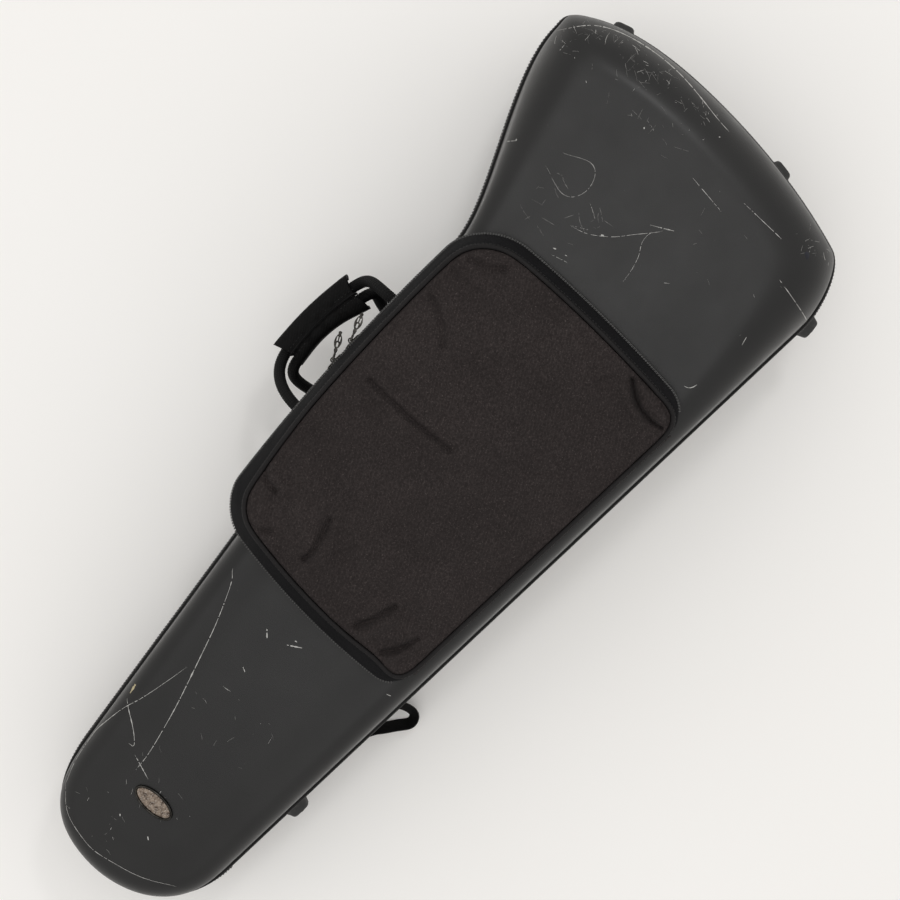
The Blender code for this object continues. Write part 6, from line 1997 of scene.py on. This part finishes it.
MARKS = (
    # finish, width and the places that it passes
    ("mark", 0.0011, (
        (0.3197, 0.211), (0.2937, 0.1943), (0.2255, 0.167), (0.1537, 0.1435), (0.1116, 0.1349),
    )),
    ("mark", 0.0008, ((0.1214, 0.1461), (0.1142, 0.1205))),
    ("mark", 0.0010, ((0.1525, 0.1914), (0.1312, 0.1573), (0.124, 0.1585))),
    ("mark", 0.0006, ((0.905, 0.1292), (0.9075, 0.0789))),
    ("mark", 0.0006, ((0.8299, 0.1727), (0.8419, 0.1535))),
    ("mark", 0.0005, ((0.8873, 0.1766), (0.8851, 0.1384))),
    ("mark", 0.0004, ((0.7984, 0.2795), (0.7948, 0.2423), (0.8282, 0.2441), (0.8180, 0.2760))),
    ("mark", 0.0007, ((0.7877, 0.3217), (0.7943, 0.3152))),
    ("yellow mark", 0.0030, ((0.1695, 0.1959), (0.1581, 0.1929))),
    ("mark", 0.0022, ((0.0715, 0.0770), (0.0735, 0.0800))),
    ("mark", 0.0016, ((0.8860, 0.2400), (0.8872, 0.2412))),
    ("mark", 0.0015, ((0.9304, 0.1868), (0.9316, 0.1880))),
    ("mark", 0.0015, ((0.0675, 0.1130), (0.0690, 0.1146))),
    ("mark", 0.0007, (
        (0.2204, 0.1730), (0.1756, 0.1796), (0.1275, 0.1888), (0.0844, 0.1866), (0.0450, 0.1726),
    )),
    ("mark", 0.0006, ((0.0450, 0.1726), (0.0241, 0.1334), (0.0307, 0.0762), (0.0574, 0.0252))),
    ("mark", 0.0012, ((0.8923, 0.3648), (0.9394, 0.3021), (0.9409, 0.1849))),
    ("mark", 0.0008, ((0.8807, 0.0541), (0.8731, -0.0100))),
    ("mark", 0.0018, ((0.7943, 0.3152), (0.7960, 0.3160))),
    ("mark", 0.0018, ((0.7331, 0.2982), (0.7345, 0.2992))),
    ("mark", 0.0005, ((0.7765, 0.2230), (0.7900, 0.1972), (0.8177, 0.1731), (0.8347, 0.1605))),
    ("mark", 0.0010, ((0.8299, 0.1727), (0.8419, 0.1535))),
    ("mark", 0.0005, ((0.8321, 0.1617), (0.8185, 0.1672), (0.7975, 0.1570), (0.7750, 0.1519))),
    ("mark", 0.0020, ((0.7913, 0.1972), (0.7927, 0.1947))),
    ("mark", 0.0014, ((0.7548, 0.2069), (0.7555, 0.2050))),
    ("mark", 0.0012, ((0.7513, 0.2193), (0.7526, 0.2167))),
    ("mark", 0.0016, ((0.3039, 0.1464), (0.2978, 0.1401))),
    ("mark", 0.0020, ((0.3073, 0.1221), (0.3160, 0.1101))),
    ("mark", 0.0016, ((0.3158, 0.1196), (0.3165, 0.1176))),
    ("mark", 0.0010, ((0.2608, 0.1358), (0.2588, 0.1310))),
    ("mark", 0.0012, ((0.3439, 0.0224), (0.3454, 0.0184))),
    ("mark", 0.0008, ((0.7510, 0.0434), (0.7537, 0.0382), (0.7603, 0.0358))),
)
SCRATCH_FIELDS = (
    # middle, spread to each side, number of scratches and their greatest length
    ((0.905, 0.265), (0.030, 0.070), 46, 0.014),
    ((0.775, 0.235), (0.030, 0.035), 26, 0.020),
    ((0.850, 0.100), (0.050, 0.070), 14, 0.010),
    ((0.170, 0.110), (0.080, 0.045), 26, 0.009),
    ((0.060, 0.120), (0.030, 0.040), 16, 0.008),
    ((0.902, 0.347), (0.020, 0.014), 34, 0.010),
    ((0.926, 0.300), (0.013, 0.034), 44, 0.010),
    ((0.934, 0.230), (0.010, 0.036), 34, 0.009),
    ((0.926, 0.052), (0.014, 0.022), 20, 0.008),
)
PLAIN_SHARE = 0.3
BREAK_CHANCE = 0.10
MARK_LIFT = 0.00012
MARK_THICKNESS = 0.0001
ABOVE_LID = 0.05


def fine_scratches(chance):
    """Short seeded scratches: most near the bell end and its ridges, fewer down the narrow end."""
    for middle, spread, count, reach in SCRATCH_FIELDS:
        for _ in range(count):
            x, y = (m + s * chance.uniform(-1, 1) for m, s in zip(middle, spread))
            angle = chance.gauss(1.2, 0.9)
            half = reach * chance.uniform(0.15, 1.0) ** 1.6 / 2
            bend = chance.uniform(-0.12, 0.12) * half
            dx, dy = math.cos(angle) * half, math.sin(angle) * half
            spots = ((x - dx, y - dy), (x - bend, y + bend), (x + dx, y + dy))
            finish = "mark" if chance.random() < PLAIN_SHARE else "faint mark"
            yield finish, chance.uniform(0.00022, 0.0005), spots


def build_wear():
    """Thin rubbed ribbons that follow the lid: each frays and breaks along its way."""
    lid = bpy.data.objects["lid_shell_smooth"]
    tree = BVHTree.FromObject(lid, bpy.context.evaluated_depsgraph_get())
    up = FACE.to_3x3() @ UPWARD
    chance = random.Random(23)
    ready = {name: bmesh.new() for name in ("mark", "faint mark", "yellow mark")}
    for finish, width, spots in MARKS + tuple(fine_scratches(chance)):
        line = even(through([(*spot, 0) for spot in spots], 14, 0.28), 0.0016)
        previous = None
        for i, point in enumerate(line):
            before, after = line[max(i - 1, 0)], line[min(i + 1, len(line) - 1)]
            side = (after - before).normalized().cross(UPWARD)
            fray = 0.35 + 0.65 * abs(noise.noise(Vector((point.x * 180, point.y * 180, 4.0)))) * 2
            taper = math.sin(math.pi * min(max((i + 0.5) / len(line), 0), 1)) ** 0.4
            half = width * 0.5 * fray * taper
            pair = []
            for way in (-1, 1):
                spot = FACE @ (point + side * way * half + Vector((0, 0, ABOVE_LID)))
                hit, normal, _, _ = tree.ray_cast(spot, -up, 0.3)
                if hit is None:
                    pair = None
                    break
                pair.append(ready[finish].verts.new(hit + normal * MARK_LIFT))
            broken = chance.random() < BREAK_CHANCE
            if pair and previous and not broken:
                ready[finish].faces.new((previous[0], previous[1], pair[1], pair[0]))
            previous = pair
    for finish, shape in ready.items():
        loose = [v for v in shape.verts if not v.link_faces]
        bmesh.ops.delete(shape, geom=loose, context="VERTS")
        bmesh.ops.recalc_face_normals(shape, faces=shape.faces)
        down = [face for face in shape.faces if face.normal.dot(up) < 0]
        bmesh.ops.reverse_faces(shape, faces=down)
        bmesh.ops.solidify(shape, geom=shape.faces[:], thickness=MARK_THICKNESS)
        add_piece("lid_rubbed_" + finish.replace(" ", "_"), shape, finish, "lid")


# Light, floor and camera

FLOOR_REACH = 6.0
FLOOR_Z = -0.0004
DAYLIGHT = (1.0, 0.985, 0.96, 1)
DAYLIGHT_STRENGTH = 0.80
LAMPS = (
    # name, place, side and power in watts; each points at the middle of the floor
    ("window", (-0.20, 0.55, 3.0), 2.2, 6.3),
    ("ceiling", (-0.40, -0.20, 3.4), 2.2, 11.5),
    ("skylight", (1.42, 0.40, 2.65), 0.30, 6.5),
)


def build_stage():
    mesh = bpy.data.meshes.new("floor")
    turns = ((-1, -1), (1, -1), (1, 1), (-1, 1))
    corners = [(FLOOR_REACH * a, FLOOR_REACH * b, FLOOR_Z) for a, b in turns]
    mesh.from_pydata(corners, [], [(0, 1, 2, 3)])
    floor = new_object("floor", mesh)
    paper = Finish("pale paper floor", (0.90, 0.89, 0.865), 0.9)
    cloud = paper.noise(paper.place(), 1.4, 2.0)
    paper.colour(paper.blend(cloud, (0.955, 0.948, 0.938), (0.92, 0.905, 0.885)))
    mesh.materials.append(paper.material)

    world = bpy.data.worlds.new("soft daylight")
    bpy.context.scene.world = world
    world.use_nodes = True
    background = world.node_tree.nodes["Background"]
    background.inputs["Color"].default_value = DAYLIGHT
    background.inputs["Strength"].default_value = DAYLIGHT_STRENGTH

    for name, place, size, power in LAMPS:
        data = bpy.data.lights.new(name, "AREA")
        data.size = size
        data.energy = power
        lamp = new_object(name, data)
        lamp.location = place
        towards = Vector((0, 0, 0.1)) - Vector(place)
        lamp.rotation_euler = towards.to_track_quat("-Z", "Y").to_euler()


def build_camera():
    data = bpy.data.cameras.new("camera")
    data.lens = CAMERA_LENS
    data.sensor_width = SENSOR
    camera = new_object("camera", data)
    tilt_x, tilt_y, roll = CAMERA_TURN
    camera.matrix_world = (
        Matrix.Translation(CAMERA_SPOT)
        @ Matrix.Rotation(roll, 4, "Z")
        @ Matrix.Rotation(-tilt_y, 4, "Y")
        @ Matrix.Rotation(-tilt_x, 4, "X")
    )
    bpy.context.scene.camera = camera


build_camera()
build_stage()
build_shells()
build_rim()
build_pocket()
build_handle()
build_feet()
build_badge()
build_sliders()
build_straps()
build_padding()
build_hold_straps()
build_wear()
bpy.context.scene.view_settings.view_transform = "Standard"
